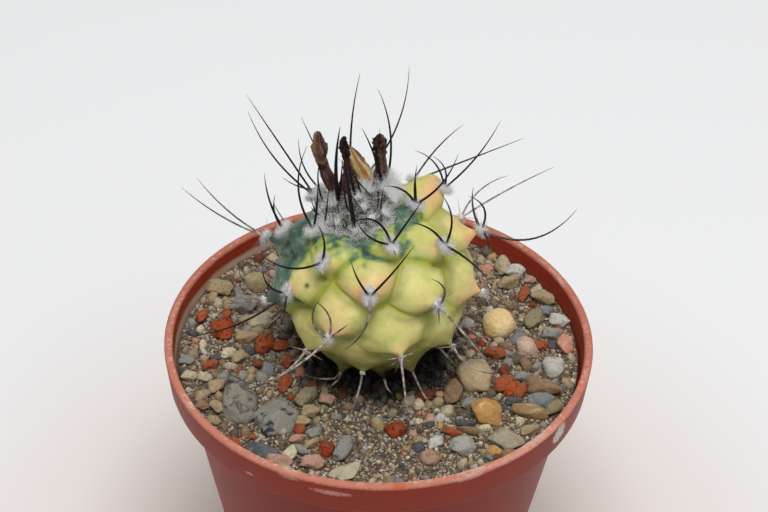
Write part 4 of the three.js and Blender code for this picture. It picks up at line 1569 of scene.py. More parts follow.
@dataclass(frozen=True)
class WitheredFlower:
    """The dry remains of a flower: a crumpled, ribbed body that stands in the crown's wool."""

    node: str
    root: Pair
    tip: Pair
    lean: float
    bow: float
    widths: tuple[float, ...]
    flat: float = 1.0
    char: Pair = (0.1, 0.6)
    crumple: float = 0.3
    lumps: float = 0.15
    fold: float = 0.0
    bleached: float = 0.0
    petal: bool = False
    around: int = 60
    rows: int = 64

    def build(self, globe: Globe, viewpoint: Viewpoint, finish: Material) -> None:
        """Makes the flower.

        Args:
            globe: What it stands on.
            viewpoint: The camera that its root and tip were read through.
            finish: Its material.
        """
        base, aside, rise = viewpoint.rooted(self.root, self.tip, globe)
        offset = aside * RIGHT + rise * RISE + self.lean * SIGHT
        side = unit(np.cross(SIGHT, offset))
        across = unit(np.cross(side, offset))
        middle = base + offset / 2 + 2 * self.bow * side
        seed = float(sum(self.node.encode()) % 97)
        angles = 2 * math.pi * np.arange(self.around) / self.around
        c, s = np.cos(angles), np.sin(angles)

        def around(width: float, height: float, pitch: float, octaves: int, shift: float) -> Array:
            """Noise round a ring."""
            ring = np.stack([width * c, width * s, np.full_like(c, height)], axis=1)
            return fractal(ring, pitch, octaves, seed + shift)

        rings, marks = [], []
        folded = float(self.fold > 0)
        for t in np.linspace(0, 1, self.rows):
            crumpled = around(1, 4.5 * t, 1.1, 4, 0)
            fine = around(2.2, 2.25 * t, 1.9, 3, 3)
            knobs = around(1, 4.5 * t, 3.1, 3, 5)
            rib = 0.5 + 0.5 * np.cos(5 * angles + 2.5 * t + 1.2 * crumpled)
            step = 0.16 * (ease(t, self.fold - 0.03, self.fold + 0.01) - 0.6) * hill(t - self.fold, 0.12)
            uneven = 0.22 * (rib - 0.5) + self.crumple * crumpled + 0.14 * fine
            uneven = uneven + self.lumps * float(ease(t, 0.5, 0.75)) * knobs
            width = np.interp(t, np.linspace(0, 1, len(self.widths)), self.widths)
            width = max(0.03, width * math.sqrt(max(0.0, 1 - t ** (4 if self.petal else 14))))
            share = width * (1 + uneven + folded * step)
            spine = bezier(base, middle, base + offset, np.array([t]))[0]
            rings.append(spine + side * (c * share)[:, None] + across * (s * share * self.flat)[:, None])
            edge = np.clip(c * np.sign(self.bleached), 0, 1) ** 2 * abs(self.bleached)
            edge = edge * (1.0 if self.petal else float(ease(t, 0.45, 0.7)))
            # Painted shade just under the fold, on one side.
            fold_shadow = folded * hill(t - self.fold + 0.06, 0.04)
            over_fold = folded * hill(t - self.fold - 0.02, 0.018)
            char = self.char[0] + (self.char[1] - self.char[0]) * float(ease(t, 0.35, 0.85))
            marks.append(
                {
                    "rib": np.clip(0.5 * rib + 0.5 * (0.5 + fine), 0, 1),
                    "along": np.full(self.around, t),
                    "char": char + 0.9 * fold_shadow * np.clip(0.5 + 0.6 * c, 0, 1) - 0.5 * edge,
                    "bleached": np.clip(edge + 0.8 * over_fold, 0, 1),
                    "stripe": 0.62 + 0.45 * np.sin(5 * angles + 0.4) + 0.12 * np.sin(2 * angles + 1.5),
                }
            )
        shown = {key: np.concatenate([m[key] for m in marks] + [[0.5, 0.5]]) for key in marks[0]}
        ends = [rings[0].mean(axis=0), rings[-1].mean(axis=0)]
        count = self.rows * self.around
        rows = np.arange(count).reshape(self.rows, self.around)
        faces = walls([[count] * self.around, *rows, [count + 1] * self.around])
        name = self.node.replace("withered", "dry").replace("sepal", "petal")
        piece = mesh_object(name, np.vstack([*rings, *ends]), faces, shown, material=finish)
        recalculated(piece)
        seat(piece, "dry_sepal" if self.petal else "withered_flower", self.node)


def recalculated(piece: Thing) -> None:
    """Turns a closed mesh's faces outwards."""
    shape = bmesh.new()
    shape.from_mesh(piece.data)
    bmesh.ops.recalc_face_normals(shape, faces=shape.faces)
    shape.to_mesh(piece.data)
    shape.free()


# The pot and what fills it


@dataclass(frozen=True)
class Viewpoint:
    """The photo's camera, in millimetres and degrees."""

    focal_pixels: float = 2000.0
    elevation: float = 38.93
    distance: float = 256.7
    aside: float = -0.42
    down: float = -10.03
    roll: float = -0.0236
    target_height: float = 48.0
    sensor: float = 36.0

    def axes(self) -> tuple[Array, Array, Array, Array]:
        """The camera's right, up and back, and its place."""
        tilt = math.radians(self.elevation)
        up = np.array([0, math.sin(tilt), math.cos(tilt)])
        back = np.array([0, -math.cos(tilt), math.sin(tilt)])
        target = self.target_height * UP - self.aside * RIGHT - self.down * up
        c, s = math.cos(self.roll), math.sin(self.roll)
        return c * RIGHT - s * up, s * RIGHT + c * up, back, target + back * self.distance

    def on_level(self, seen: Pair, height: float) -> Array:
        """Where a level plane of some height is seen at a place in the picture."""
        place, way = self.ray(seen)
        return place + way * (height - place[2]) / way[2]

    def ray(self, seen: Pair) -> tuple[Array, Array]:
        """The camera's place and the way from it through a place in the picture."""
        right, up, back, place = self.axes()
        aside = (seen[0] - PICTURE_WIDTH / 2) / self.focal_pixels
        down = (seen[1] - PICTURE_HEIGHT / 2) / self.focal_pixels
        return place, aside * right - down * up - back

    def on_globe(self, seen: Pair, globe: Globe) -> Array:
        """Where the plant's skin is seen at a place in the picture, or comes closest to it."""
        place, way = self.ray(seen)
        local = globe.local(place + np.linspace(self.distance - 60, self.distance + 40, 900)[:, None] * way)
        depth = np.linalg.norm(local, axis=1) - globe.skin(unit(local)).fraction
        inside = np.flatnonzero(depth < 0)
        found = local[inside[0] if len(inside) else depth.argmin()]
        return globe.place(unit(found) * globe.skin(unit(found)[None]).fraction[0])

    def rooted(self, root: Pair, tip: Pair, globe: Globe) -> tuple[Array, float, float]:
        """A root's place on the globe, and how far right and up from it a tip is seen."""
        base = self.on_globe(root, globe)
        *_, back, at = self.axes()
        scale = float((at - base) @ back) / self.focal_pixels
        return base, (tip[0] - root[0]) * scale, (root[1] - tip[1]) * scale

    def place(self) -> None:
        """Makes the camera, which is also the scene's."""
        *axes, at = self.axes()
        data = bpy.data.cameras.new("photo_camera")
        data.sensor_width = self.sensor
        data.lens = self.focal_pixels * self.sensor / PICTURE_WIDTH
        data.clip_start = 0.01
        data.clip_end = 10.0
        camera = added("photo_camera", data)
        rows = [[float(column[i]) for column in (*axes, at * MM)] for i in range(3)]
        camera.matrix_world = Matrix([*rows, [0, 0, 0, 1]])
        bpy.context.scene.camera = camera


@dataclass
class Pot:
    """A tapered plastic nursery pot with a rim band and drain holes, in millimetres."""

    height: float = 48.0
    rim_radius: float = 27.5
    lip: float = 1.1
    band_height: float = 4.9
    band_foot_radius: float = 27.0
    shoulder_radius: float = 25.1
    foot_radius: float = 17.4
    wall: float = 0.9
    floor: float = 1.4
    drain_holes: int = 6
    drain_radius: float = 2.3
    drain_circle: float = 11.0
    sides: int = 192
    scuffs: tuple[Scuff, ...] = ()

    def build(self) -> None:
        """Makes the pot."""
        points, faces = lathe(self._profile(), self.sides)
        piece = mesh_object("nursery_pot", points, faces)
        recalculated(piece)
        finish = PotPlastic("worn_terracotta_plastic", 0.5, 0.2, scuffs=self.scuffs).material()
        values = {
            "Holes": self.drain_holes,
            "Circle": self.drain_circle * MM,
            "Radius": self.drain_radius * MM,
            "Depth": 6 * self.floor * MM,
            "Finish": finish,
        }
        piece = self._drain_recipe().cook(piece, values)
        piece.data.set_sharp_from_angle(angle=math.radians(38))
        seat(piece, "pot_plastic", "pot")

    def _profile(self) -> list[Pair]:
        """The pot's section, from the middle of its foot round to the middle of its floor."""
        band_foot = self.height - self.band_height
        inner_rim = self.rim_radius - self.lip
        outside = [
            (0.0, 0.35),
            (self.foot_radius - 2.4, 0.35),
            (self.foot_radius - 2.0, 0.0),
            (self.foot_radius, 0.0),
            (self.shoulder_radius, band_foot),
            (self.band_foot_radius, band_foot),
            (self.rim_radius, self.height),
            (inner_rim, self.height),
            (inner_rim - 0.4, band_foot + 0.4),
            (self.shoulder_radius - self.wall, band_foot - 0.8),
            (self.foot_radius - self.wall, self.floor),
            (0.0, self.floor),
        ]
        return rounded(outside, 0.45)

    def _drain_recipe(self) -> Recipe:
        """The tree that drills a ring of holes through the floor."""
        kinds = {"Holes": "Int", "Circle": "Float", "Radius": "Float", "Depth": "Float", "Finish": "Material"}
        recipe = Recipe("drain_holes", kinds)
        add, given = recipe.add, recipe.given
        drill = add("MeshCylinder", 32, None, None, given("Radius"), given("Depth"))
        drills = add("InstanceOnPoints", add("MeshCircle", given("Holes"), given("Circle")), None, drill)
        drills = add("RealizeInstances", drills)
        drilled = add("MeshBoolean", given(), drills, operation="DIFFERENCE", solver="EXACT")
        recipe.end(add("SetMaterial", add("SetShadeSmooth", drilled), None, given("Finish")))
        return recipe


def knapped(subdivisions: int, planes: int, sharpness: float, rough: float, seed: int) -> tuple[Array, Array]:
    """A broken and then worn piece of rock that fills the cube from -1 to 1.

    Args:
        subdivisions: Of the icosphere that it starts from.
        planes: How many faces it broke along.
        sharpness: How crisp its edges are.
        rough: How uneven it is.
        seed: The source of chance.

    Returns:
        Its vertices and faces.
    """
    random = np.random.default_rng(seed)
    ball, faces = sphere(subdivisions)
    heights = 1 - 2 * (np.arange(planes) + 0.5) / planes
    bearing = math.pi * (1 + math.sqrt(5)) * np.arange(planes)
    level = np.sqrt(1 - heights**2)
    normals = np.stack([level * np.cos(bearing), level * np.sin(bearing), heights], axis=1)
    normals = unit(normals + 0.5 * (random.random(normals.shape) - 0.5))
    facing = np.maximum(ball @ normals.T, 0) / (0.82 + 0.2 * random.random(planes))
    solid = ball * ((facing**sharpness).sum(axis=1) ** (-1 / sharpness))[:, None]
    solid *= 1 + rough * fractal(ball, 2.2, 5, seed=seed % 89)[:, None]
    return 2 * (solid - solid.min(axis=0)) / (solid.max(axis=0) - solid.min(axis=0)) - 1, faces


@dataclass(frozen=True)
class Stone:
    """One larger stone: the CAD node that it follows, its mineral and how it broke."""

    node: str
    finish: StoneFinish
    planes: int = 15
    sharpness: float = 11.0
    rough: float = 0.035

    def build(self, cad: Thing) -> Thing:
        """Makes a worn polyhedron that fills the same space as the CAD stone.

        Args:
            cad: The CAD stone.

        Returns:
            The piece.
        """
        corners = np.array([v.co[:] for v in cad.data.vertices]) / MM
        middle = corners.mean(axis=0)
        axes = np.linalg.eigh(np.cov((corners - middle).T))[1]
        axes[:, 0] *= np.sign(np.linalg.det(axes))
        local = (corners - middle) @ axes
        half = (local.max(axis=0) - local.min(axis=0)) / 2
        middle = middle + axes @ (local.max(axis=0) + local.min(axis=0)) / 2
        solid, faces = knapped(5, self.planes, self.sharpness, self.rough, sum(self.node.encode()))
        name = self.node.replace("stone_", "pebble_")
        return mesh_object(name, middle + (solid * half) @ axes.T, faces, material=self.finish.material())


@dataclass(frozen=True)
class Pebble:
    """A pebble in the mix, by where the photo shows it, its half width and its mineral."""

    seen: Pair
    radius: float
    mineral: Mineral
    stretch: float = 1.15
    turn: float = 0.0


@dataclass(frozen=True)
class Layer:
    """One layer of loose grains, in millimetres, knapped from icospheres of some subdivisions."""

    name: str
    finish: GravelFinish
    subdivisions: int
    shapes: int
    spacing: float
    smallest: float
    largest: float
    clearance: float
    seed: int
    smooth: bool


@dataclass
class Gravel:
    """The mineral mix that fills the pot: a bed of grit, with pebbles and two layers of grains on it."""

    pot: Pot
    globe: Globe
    stones: Sequence[Thing]
    pebbles: Sequence[Pebble]
    viewpoint: Viewpoint
    layers: Sequence[Layer]
    gap: float = 0.3
    root_radius: float = 5.2
    root_depth: float = 22.0
    relief: float = 0.35
    fine_spot: Pair = (-1.0, -18.0)
    sectors: int = 120

    def build(self) -> None:
        """Makes the bed and its grains."""
        self.top = self.pot.rim_radius - self.pot.lip - 0.4 - self.gap
        materials = [layer.finish.material() for layer in self.layers]
        placed = self._placed(self.layers[0].finish, materials[0])
        markers = self._markers([*self.stones, placed])
        for layer, material in zip(self.layers, materials):
            self._layer(layer, markers, material)
        bpy.data.objects.remove(markers)
        self._bed()

    def _placed(self, finish: GravelFinish, material: Material) -> Thing:
        """The pebbles that the photo shows singly, half sunk in the bed.

        Args:
            finish: Knows each mineral's tone.
            material: Its material.

        Returns:
            The piece.
        """
        points, faces, tones, start = [], [], [], 0
        for i, pebble in enumerate(self.pebbles):
            at = self.viewpoint.on_level(pebble.seen, self.globe.soil_top + 0.45 * pebble.radius)
            at[:2] *= min(1.0, (self.top - 1.05 * pebble.radius) / math.hypot(at[0], at[1]))
            solid, triangles = knapped(4, 11, 13.0, 0.09, 200 + i)
            half = pebble.radius * np.array([pebble.stretch, 1 / pebble.stretch, 0.72])
            turn = math.radians(pebble.turn)
            c, s = math.cos(turn), math.sin(turn)
            points.append(at + (solid * half) @ np.array([[c, s, 0], [-s, c, 0], [0, 0, 1]]))
            faces.append(triangles + start)
            tones.append(np.full(len(solid), sum(finish.tones()[pebble.mineral]) / 2))
            start += len(solid)
        shown = {"tone": np.concatenate(tones)}
        piece = mesh_object("gravel_pebbles", np.vstack(points), np.vstack(faces), shown, material=material)
        return seat(piece, "gravel", "soil")

    def _surface(self, points: Array) -> Array:
        """Adds the bed's low relief to places on its top."""
        bumps = np.array([noise.fractal(Vector((x * 0.45, y * 0.45, 3.0)), 1.0, 2.0, 4) for x, y, _ in points])
        reach = np.hypot(points[:, 0], points[:, 1])
        inside = ease(self.top - reach, 0.0, 1.0) * ease(reach, self.root_radius, 7.0)
        moved = points.copy()
        moved[:, 2] += self.relief * bumps * inside
        return moved

    def _bed(self) -> None:
        """The closed solid of grit, with the hole that the root stands in."""
        pot, soil = self.pot, self.globe.soil_top
        band_foot = pot.height - pot.band_height
        inner = [
            (0.0, pot.floor + self.gap),
            (pot.foot_radius - pot.wall - self.gap, pot.floor + self.gap),
            (pot.shoulder_radius - pot.wall - self.gap, band_foot - 0.8),
            (self.top, band_foot + 0.4 + self.gap),
        ]
        radii = np.linspace(self.top, self.root_radius + self.gap, 90)
        surface = [(float(r), soil) for r in radii]
        hole = [(1.6 + self.gap, soil - self.root_depth - self.gap), (0.0, soil - self.root_depth - self.gap)]
        points, faces = lathe([*inner, *surface, *hole], 220)
        on_top = np.abs(points[:, 2] - soil) < 1e-6
        points[on_top] = self._surface(points[on_top])
        grit = SandFinish("grit", 0.95, 0.3).material()
        piece = mesh_object("gravel_bed", points, faces, material=grit)
        recalculated(piece)
        seat(piece, "gravel", "soil")

    def _markers(self, stones: Sequence[Thing]) -> Thing:
        """All the stones as one mesh, for keeping grains off them."""
        points, faces, start = [], [], 0
        for stone in stones:
            places = np.array([v.co[:] for v in stone.data.vertices]) / MM
            points.append(places)
            faces += [[start + i for i in f.vertices] for f in stone.data.polygons]
            start += len(places)
        return mesh_object("stone_markers", np.vstack(points), faces)

    def _layer(self, layer: Layer, markers: Thing, material: Material) -> None:
        """One layer of loose grains.

        Args:
            layer: What it is like.
            markers: The stones as one mesh.
            material: The grains' material.
        """
        radii = np.linspace(self.root_radius + 1.2, self.top - 0.6 * layer.largest, 40)
        around = self.sectors
        angles = 2 * math.pi * np.arange(around) / around
        grid = np.array([(r * math.cos(a), r * math.sin(a), self.globe.soil_top) for r in radii for a in angles])
        faces = []
        for i in range(0, len(grid) - around, around):
            for j in range(around):
                k = (j + 1) % around
                faces.append([i + j, i + around + j, i + around + k, i + k])
        away = ((grid[:, 0] - self.fine_spot[0]) / 9) ** 2 + ((grid[:, 1] - self.fine_spot[1]) / 6) ** 2
        coarse = np.clip(1 - 0.85 * np.exp(-away), 0, 1) if layer.subdivisions > 1 else np.ones(len(grid))
        raw = mesh_object(layer.name, self._surface(grid), faces, {"coarse": coarse})
        keys = ("Spacing", "Smallest", "Largest", "Clearance")
        values = {key: getattr(layer, key.lower()) * MM for key in keys}
        values |= {"Seed": layer.seed, "Stones": markers, "Finish": material}
        piece = gravel_recipe(layer.shapes, layer.subdivisions).cook(raw, values)
        piece.data.polygons.foreach_set("use_smooth", [layer.smooth] * len(piece.data.polygons))
        seat(piece, "gravel", "soil")


# The studio


@dataclass(frozen=True)
class Panel:
    """A soft light panel that faces the plant, in metres."""

    name: str
    at: Triple
    size: float
    power: float
    tint: Triple = (1.0, 1.0, 1.0)

    def place(self) -> None:
        """Makes the panel."""
        data = bpy.data.lights.new(self.name, "AREA")
        data.shape = "DISK"
        data.size = self.size
        data.energy = self.power
        data.color = self.tint
        lamp = added(self.name, data)
        lamp.location = self.at
        lamp.rotation_euler = (Vector((0, 0, 0.05)) - Vector(self.at)).to_track_quat("-Z", "Y").to_euler()


@dataclass(frozen=True)
class Studio:
    """The pale floor, the soft lights and the camera."""

    viewpoint: Viewpoint = Viewpoint()
    panels: tuple[Panel, ...] = ()
    sky: float = 0.3
    floor_reach: float = 1500.0

    def build(self) -> None:
        """Makes the studio."""
        half = self.floor_reach
        corners = np.array([(-half, -half, 0.0), (half, -half, 0.0), (half, half, 0.0), (-half, half, 0.0)])
        pale = FloorFinish("pale_floor", 0.9, 0.1).material()
        mesh_object("floor", corners, [[0, 1, 2, 3]], material=pale)
        world = bpy.data.worlds.new("pale_room")
        world.use_nodes = True
        background = world.node_tree.nodes["Background"]
        background.inputs["Color"].default_value = (1.0, 0.985, 0.97, 1.0)
        background.inputs["Strength"].default_value = self.sky
        bpy.context.scene.world = world
        bpy.context.scene.view_settings.view_transform = "Standard"
        for panel in self.panels:
            panel.place()
        self.viewpoint.place()


# This plant's own readings from the photo

SPINES: dict[int, list[Spine]] = {
    -13: [(0.6, 14.6, 0.7)],
    -11: [(-1.3, 10.9, -1)],
    -10: [(-0.7, 9.6, 1.4), (0.5, 5.3, -0.2)],
    -9: [(-0.1, 2.8, 0), (0, 4.6, 0.2), (-3.9, 2, -0.7), (4.8, 5.9, -0.8)],
    -8: [(-8.4, 11.9, 0), (-8.2, 9.9, 1)],
    -7: [(-5.8, 1.7, -2.1), (-4.3, 2.9, 0.8), (3.5, 5.2, 0), (0.6, -1.5, 0)],
    -6: [(4.9, 13.5, -1.3)],
    -5: [(-0.6, 4.6, -0.6), (-7.2, 1, 1.3)],
    -4: [(-1.5, 3.9, -0.9), (-3.8, 4.4, -1), (6.7, 8.4, -0.6)],
    -3: [(-2.3, 6.7, 0.5), (-1, 4.1, 0.6)],
    -2: [(-4.5, 2.6, -0.7), (-0.9, 6.2, -1.1), (5.2, -4.2, 0.4)],
    -1: [(-3, 6.5, 0.8), (-5, 1.5, 0.5)],
    0: [(5, 6.1, -0.2), (-2.3, 4.3, 0.3), (-2.8, -6.2, 1.1)],
    1: [(6.3, 7.5, 0.5), (14.4, 6.1, 0)],
    2: [(-10.3, -5.1, 0.9), (-2.8, 3.2, 1), (-0.2, -3.2, 0)],
    3: [(-1.9, 4.1, -1.3), (11.5, 2.8, -2.4), (0.9, -2.5, 0.3), (-1.3, 5.2, 0.5)],
    4: [(-9.1, 7.3, 0.6), (-11.1, 6.1, 0.6)],
    5: [(-1, 3.3, -1.2), (6.5, -7.4, 0.2), (-2, -1.1, 0), (0.1, -2.2, 0)],
    7: [(-1.6, 4.6, -1), (-1, 4.9, 1.4), (-9.4, -5.8, 0.8), (2.3, 1.8, 0)],
    8: [(12.4, 7.1, 0.3), (6.1, 5.7, 1)],
    9: [(-3.2, 4.1, 0.9), (-4.7, -0.5, 0), (-2.7, 2.9, 0.7)],
    10: [(0.5, -1.4, 0), (3.8, -2.6, 0.3)],
    12: [(1.2, -7.7, -0.1), (-2.5, -0.3, 0), (2.1, 1, 0)],
    14: [(-5.9, -4.5, 0.6), (2.4, -1.1, 0), (-1.6, -2, 0)],
    15: [(2.4, 0.8, 0.2), (2.2, -2.6, 0)],
    17: [(5.5, -3.2, -1), (-2.5, -0.1, 0)],
    19: [(-1.8, -6.6, 0.3)],
    22: [(6.7, -5.3, 0.4)],
    24: [(2.8, -5.3, -0.1)],
    26: [(-1.6, -4.7, 0), (-4.8, -2.2, 0.9)],
    29: [(3, -3.3, 0)],
    31: [(1.3, -3.9, 0)],
}

NUDGES = {
    -10: (-0.4, -0.8), -4: (1.1, 0.1), -3: (0.4, 0.6), 2: (0.8, -0.4), 3: (0.6, 0.0), 4: (-1.1, -0.1),
    14: (0.5, 0.5), 19: (-0.2, 0.5), 24: (0.1, -0.7), 26: (-0.6, -0.6), 31: (0.0, -0.9),
}  # fmt: skip

FLUSH = {
    -9: 0.1, -8: 0.1, -7: 0.15, -5: 0.4, -4: 0.6, -2: 0.7, 0: 0.8, 2: 0.3, 3: 0.6, 5: 0.5, 7: 0.3,
    10: 0.7, 12: 0.3, 14: 0.3, 17: 0.4,
}  # fmt: skip

SWELLINGS: tuple[Swelling, ...] = (
    ((0.54, 0.43, 0.725), 0.17, 2.7),
    ((0.66, 0.33, 0.675), 0.17, 0.9),
)

CROWN_SPINES: tuple[CrownSpine, ...] = (
    ((341, 196), (300.8, 120.3), 0.1, 0.15),
    ((324, 204), (321, 158), 0.55, 0.13),
    ((323.8, 228), (329, 181), -0.1, 0.1),
    ((340, 211), (339.7, 130.5), 0.5, 0.28),
    ((338, 211), (343, 155), 0.0, 0.15),
    ((355.7, 234), (342.5, 151), 0.05, 0.3),
    ((358.5, 206), (347, 160), 0.1, 0.2),
    ((364, 203), (353, 171), 0.0, 0.15),
    ((349, 216), (340.5, 178), 0.0, 0.12),
    ((366, 216), (346, 190), 0.0, 0.09),
    ((376.7, 203.6), (337, 160), 0.0, 0.1),
    ((384.5, 199), (360.8, 132), -0.45, 0.2),
    ((374.4, 219), (376.3, 189.6), -0.3, 0.09),
    ((380.6, 218), (383, 188), 0.1, 0.1),
    ((385, 198), (387.6, 184), 0.0, 0.08),
    ((319.5, 218.4), (310.6, 196.6), 0.1, 0.09),
    ((374, 188), (378.7, 130.5), 0.0, 0.13),
    ((313, 192), (317.6, 178), 0.0, 0.07),
    ((362, 212), (352.6, 203), 0.0, 0.08),
)

TUFTS: tuple[Tuft, ...] = (
    ((388, 193), 1.0, 2.3), ((379, 195), 0.8, 2.2), ((397, 188), 0.8, 1.5), ((386, 202), 0.8, 1.3),
    ((370, 200), 0.7, 0.8), ((360, 206), 0.6, 0.6), ((393, 205), 0.9, 0.9), ((386, 218), 0.8, 0.7),
    ((373, 224), 0.6, 0.6), ((357, 233), 0.8, 0.7), ((340, 228), 0.6, 0.6), ((323, 213), 0.5, 0.5),
    ((313, 203), 0.8, 0.9), ((321, 231), 1.1, 1.0), ((330, 226), 0.5, 0.5), ((365, 214), 0.5, 0.5),
)  # fmt: skip

FLOWERS = (
    WitheredFlower(
        "withered_flower_left", (339, 197), (317.5, 135), 6.0, 0.6,
        (0.6, 0.68, 0.74, 0.76, 0.68, 0.66, 0.96, 0.66, 0.56),
        char=(0.32, 0.42), crumple=0.22, lumps=0.2, fold=0.58, bleached=0.9,
    ),
    WitheredFlower(
        "withered_flower_middle", (353, 201), (343, 139), 5.2, 0.1, (1.6, 1.4, 0.95, 0.46, 0.3, 0.42, 0.4),
        char=(0.5, 0.8), crumple=0.4, lumps=1.2,
    ),
    WitheredFlower(
        "withered_flower_right", (383.5, 190), (378.3, 137.5), 4.6, 0.1, (0.75, 0.8, 0.8, 0.66, 0.68, 0.66, 0.42),
        char=(0.3, 0.62), crumple=0.3, lumps=0.9, bleached=-0.3,
    ),
)  # fmt: skip
SEPAL = WitheredFlower(
    "dry_sepal", (375, 191), (348.5, 149), 4.2, 0.1, (0.7, 0.95, 1.0, 0.9, 0.6), flat=0.4, char=(0, 0),
    crumple=0.14, lumps=0.1, bleached=-0.9, petal=True,
)  # fmt: skip


def lava(name: str, base: str) -> Stone:
    """A stone of porous red lava."""
    return Stone(f"stone_{name}", StoneFinish(name, 0.95, 0.25, base, "6e3018", 0.9, 0.5, 0.5, 0.25))


def stone(
    name: str, base: str, second: str, patch: float = 0.5, patch_from: float = 0.52, dust: float = 0.3, **broken: float
) -> Stone:
    """A plain stone with patches of a second colour."""
    return Stone(f"stone_{name}", StoneFinish(name, 0.8, 0.4, base, second, patch, patch_from, 0.0, dust), **broken)


STONES = (
    stone("grey_left", "8e877a", "585854", 0.6, 0.5),
    stone("grey_veined", "8e8b80", "33383c", 0.7, 0.5),
    stone("slate", "5a6066", "3a3f44", planes=12, sharpness=16),
    lava("lava_front", "a04420"),
    lava("lava_left", "a04820"),
    lava("lava_near_stem", "a85028"),
    lava("lava_corner", "a0421e"),
    lava("lava_right", "ac4c20"),
    stone("ochre", "f0cf8e", "f4dca8", 0.3, 0.5, 0.1, planes=26, sharpness=7),
    stone("pinkish", "d0b29e", "b49a88"),
    stone("white_grey", "c2bfb4", "97948a", 0.6),
    stone("salmon", "d08e74", "e0b49c", 0.6),
    stone("tan_big", "b8a27c", "9c8460", 0.4),
    stone("golden", "be8f4e", "dcc8a0", 0.6, 0.56, planes=12),
    stone("tan_long", "9b7c52", "b39a78"),
    stone("beige_wedge", "a89c84", "8a8474", 0.6, planes=10, sharpness=16),
    stone("grey_white", "a8a69c", "8a8a86", 0.7),
    stone("pink_tan", "ac8a74", "94705a", 0.7),
    stone("pale_flat", "c6bc9c", "aa9e7e", 0.6, planes=10, sharpness=16),
    stone("tan_back", "b09c74", "94805c", 0.6),
)


def mix(**shares: float) -> Mix:
    """A gravel mix, by the minerals' names in small letters."""
    return tuple((Mineral[name.upper()], share) for name, share in shares.items())


COARSE_MIX = mix(
    umber=0.07, brown=0.1, tan=0.17, beige=0.15, cream=0.05, white=0.04, grey=0.12, blue_grey=0.05, slate=0.06,
    olive=0.07, ochre=0.02, pink=0.04, salmon=0.02, lava=0.04, dark_lava=0.02,
)  # fmt: skip
FINE_MIX = mix(
    umber=0.14, brown=0.12, tan=0.2, beige=0.16, cream=0.08, white=0.03, grey=0.12, slate=0.08, pink=0.04,
    dark_lava=0.012,
)  # fmt: skip
LAYERS = (
    Layer("gravel_coarse", GravelFinish("mineral_gravel", 0.92, 0.3, COARSE_MIX), 2, 8, 1.12, 0.42, 1.2, 0.55, 4, True),
    Layer("gravel_fine", GravelFinish("mineral_grit", 0.95, 0.3, FINE_MIX), 1, 6, 0.44, 0.15, 0.42, 0.12, 21, False),
)

# Each pebble's place in the picture, half width and mineral, and for some of them their stretch and turn
PEBBLE_ROWS = (
    (202, 316, 0.95, "LAVA", 1.2, 60), (210, 364, 0.9, "LAVA", 1.3, 30), (281, 346, 1.0, "LAVA", 1.1, 10),
    (287, 361, 0.95, "LAVA", 1.2, 70), (259, 364, 0.8, "DARK_LAVA", 1.1, 0), (285, 382, 1.25, "LAVA", 1.3, 75),
    (233, 443, 0.8, "LAVA", 1.4, -40), (253, 437, 0.45, "LAVA"), (220, 288, 1.5, "TAN", 1.25, 10),
    (239, 357, 1.0, "TAN", 1.2, 60), (228, 352, 0.9, "CREAM", 1.2, 20), (217, 386, 1.2, "TAN", 1.2, 40),
    (205, 377, 0.9, "BEIGE"), (187, 360, 0.9, "GREY"), (189, 376, 1.0, "BEIGE"), (202, 395, 1.0, "TAN", 1.2, 30),
    (196, 407, 0.9, "BROWN"), (218, 407, 1.0, "TAN", 1.2, -30), (211, 421, 0.9, "TAN"), (215, 358, 0.7, "SLATE"),
    (210, 389, 0.6, "SLATE", 1.5, 0), (261, 321, 1.5, "BEIGE", 1.2, 20), (247, 337, 1.2, "TAN", 1.3, 0),
    (244, 303, 1.6, "GREY", 1.2, 0), (306, 396, 1.5, "OLIVE", 1.3, 60), (311, 411, 1.1, "TAN", 1.2, 10),
    (327, 399, 1.0, "PINK"), (303, 421, 0.9, "TAN"), (315, 432, 0.9, "GREY", 1.2, 40),
    (297, 438, 0.8, "PINK", 1.4, 20), (290, 454, 1.1, "CREAM", 1.2, 70), (277, 462, 1.4, "PINK", 1.3, 0),
    (300, 449, 0.9, "GREY", 1.3, -20), (313, 462, 1.3, "PINK", 1.2, 0), (311, 443, 0.8, "TAN", 1.6, 45),
    (286, 469, 0.8, "BEIGE"), (343, 448, 1.5, "GREY", 1.4, 70), (524, 294, 1.1, "LAVA", 1.5, 70),
    (549, 296, 1.4, "TAN", 1.3, -30), (537, 291, 1.0, "BEIGE", 1.2, 60), (503, 264, 1.4, "BEIGE", 1.3, 80),
    (519, 268, 1.2, "WHITE"), (510, 282, 1.3, "TAN", 1.5, 30), (533, 278, 0.8, "PINK"),
    (546, 311, 1.0, "BLUE_GREY", 1.2, 10), (562, 320, 1.2, "WHITE", 1.2, 0), (552, 334, 1.1, "GREY", 1.4, 10),
    (534, 319, 1.5, "OLIVE", 1.3, 60), (541, 345, 0.9, "LAVA", 1.2, 30), (495, 353, 1.2, "LAVA", 1.3, -20),
    (503, 384, 1.4, "LAVA", 1.15, 40), (521, 390, 1.1, "LAVA", 1.3, 60), (504, 370, 1.0, "DARK_LAVA", 1.2, 80),
    (453, 391, 1.6, "BROWN", 1.3, 80), (545, 388, 1.7, "BROWN", 1.35, -10), (541, 401, 1.5, "BLUE_GREY", 1.2, 10),
    (435, 442, 1.1, "WHITE", 1.2, 50), (453, 432, 0.9, "LAVA", 1.6, -15), (466, 424, 0.8, "SLATE", 1.7, 0),
    (424, 395, 1.2, "DARK_LAVA", 1.3, 20), (513, 401, 0.9, "SLATE", 1.4, 20), (523, 377, 0.9, "GREY", 1.4, 10),
    (470, 402, 1.0, "GREY", 1.2, 10), (557, 410, 1.2, "OLIVE", 1.3, 40), (530, 430, 1.0, "TAN", 1.3, 20),
)  # fmt: skip
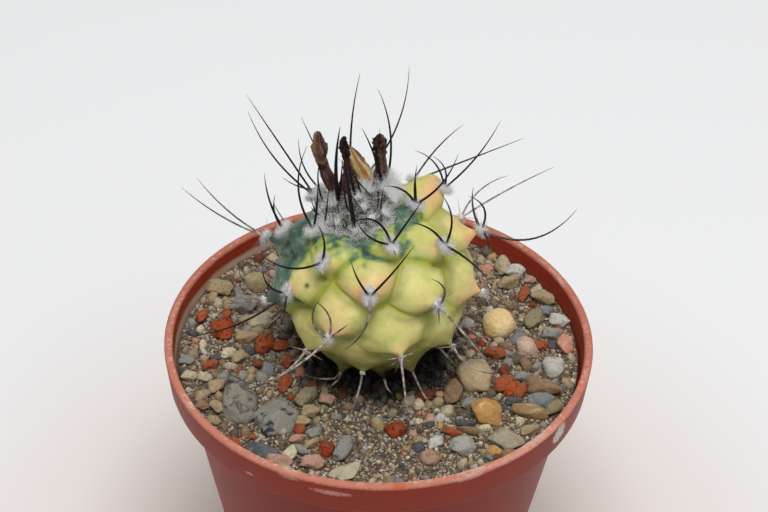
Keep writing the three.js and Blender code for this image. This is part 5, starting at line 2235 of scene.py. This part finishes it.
PEBBLES = tuple(Pebble((x, y), radius, Mineral[name], *shape) for x, y, radius, name, *shape in PEBBLE_ROWS)

SCUFFS = (
    Scuff(-34.5, 46.1, 2.7, 2.9, "d9d2c6", 0.85),
    Scuff(-47, 47.9, 12.0, 0.6, "d3a795", 0.45),
    Scuff(-101, 46.3, 5.0, 0.8, "d0a898", 0.5),
    Scuff(-84, 48.0, 1.9, 1.2, "c8502e", 0.6),
    Scuff(-124, 44.9, 1.4, 0.5, "d0a490", 0.6),
    Scuff(-112, 47.4, 2.6, 0.9, "d0987f", 0.5),
    Scuff(-66, 47.6, 4.0, 0.8, "d0b0a0", 0.5),
)

PANELS = (
    Panel("key", (0.02, -0.2, 0.8), 0.5, 5.0, (0.99, 0.995, 1.0)),
    Panel("fill", (0.5, -0.6, 0.45), 0.6, 0.4),
    Panel("back", (0.12, 0.6, 0.55), 0.6, 0.8, (0.97, 0.98, 1.0)),
)


def main() -> None:
    """Builds the plant, its pot and the studio round the frame."""
    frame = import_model()
    globe = Globe(nudges=NUDGES, swellings=SWELLINGS)
    viewpoint = Viewpoint()
    Studio(panels=PANELS).build()

    pot = Pot(scuffs=SCUFFS)
    pot.build()
    stones = [stone.build(frame["nodes"][stone.node]) for stone in STONES]
    slots = {part["node"]: part["material_slot"] for part in frame["record"]["subparts"]}
    for stone, piece in zip(STONES, stones):
        seat(piece, slots[stone.node], stone.node)
    Gravel(pot, globe, stones, PEBBLES, viewpoint, LAYERS).build()

    seat(PlantBody(globe, flush=FLUSH).build(), "plant_skin", "stem")
    recipe = woolly_recipe()
    wool = WoolFinish("plant_wool", 1.0, 0.1).material()
    horn = SpineFinish("horn", 0.6, 0.15).material()
    spination = Spination(globe, SPINES)
    Areoles(globe, spination, recipe, wool, horn).build()
    CrownWool(globe, spination, recipe, wool, horn, viewpoint, CROWN_SPINES, TUFTS).build()
    papery = FlowerFinish("withered_flower", 0.85, 0.3).material()
    for flower in FLOWERS:
        flower.build(globe, viewpoint, papery)
    SEPAL.build(globe, viewpoint, SepalFinish("dry_sepal", 0.7, 0.4).material())


if __name__ == "__main__":
    logging.basicConfig(level=logging.INFO, format="%(name)s: %(message)s")
    main()
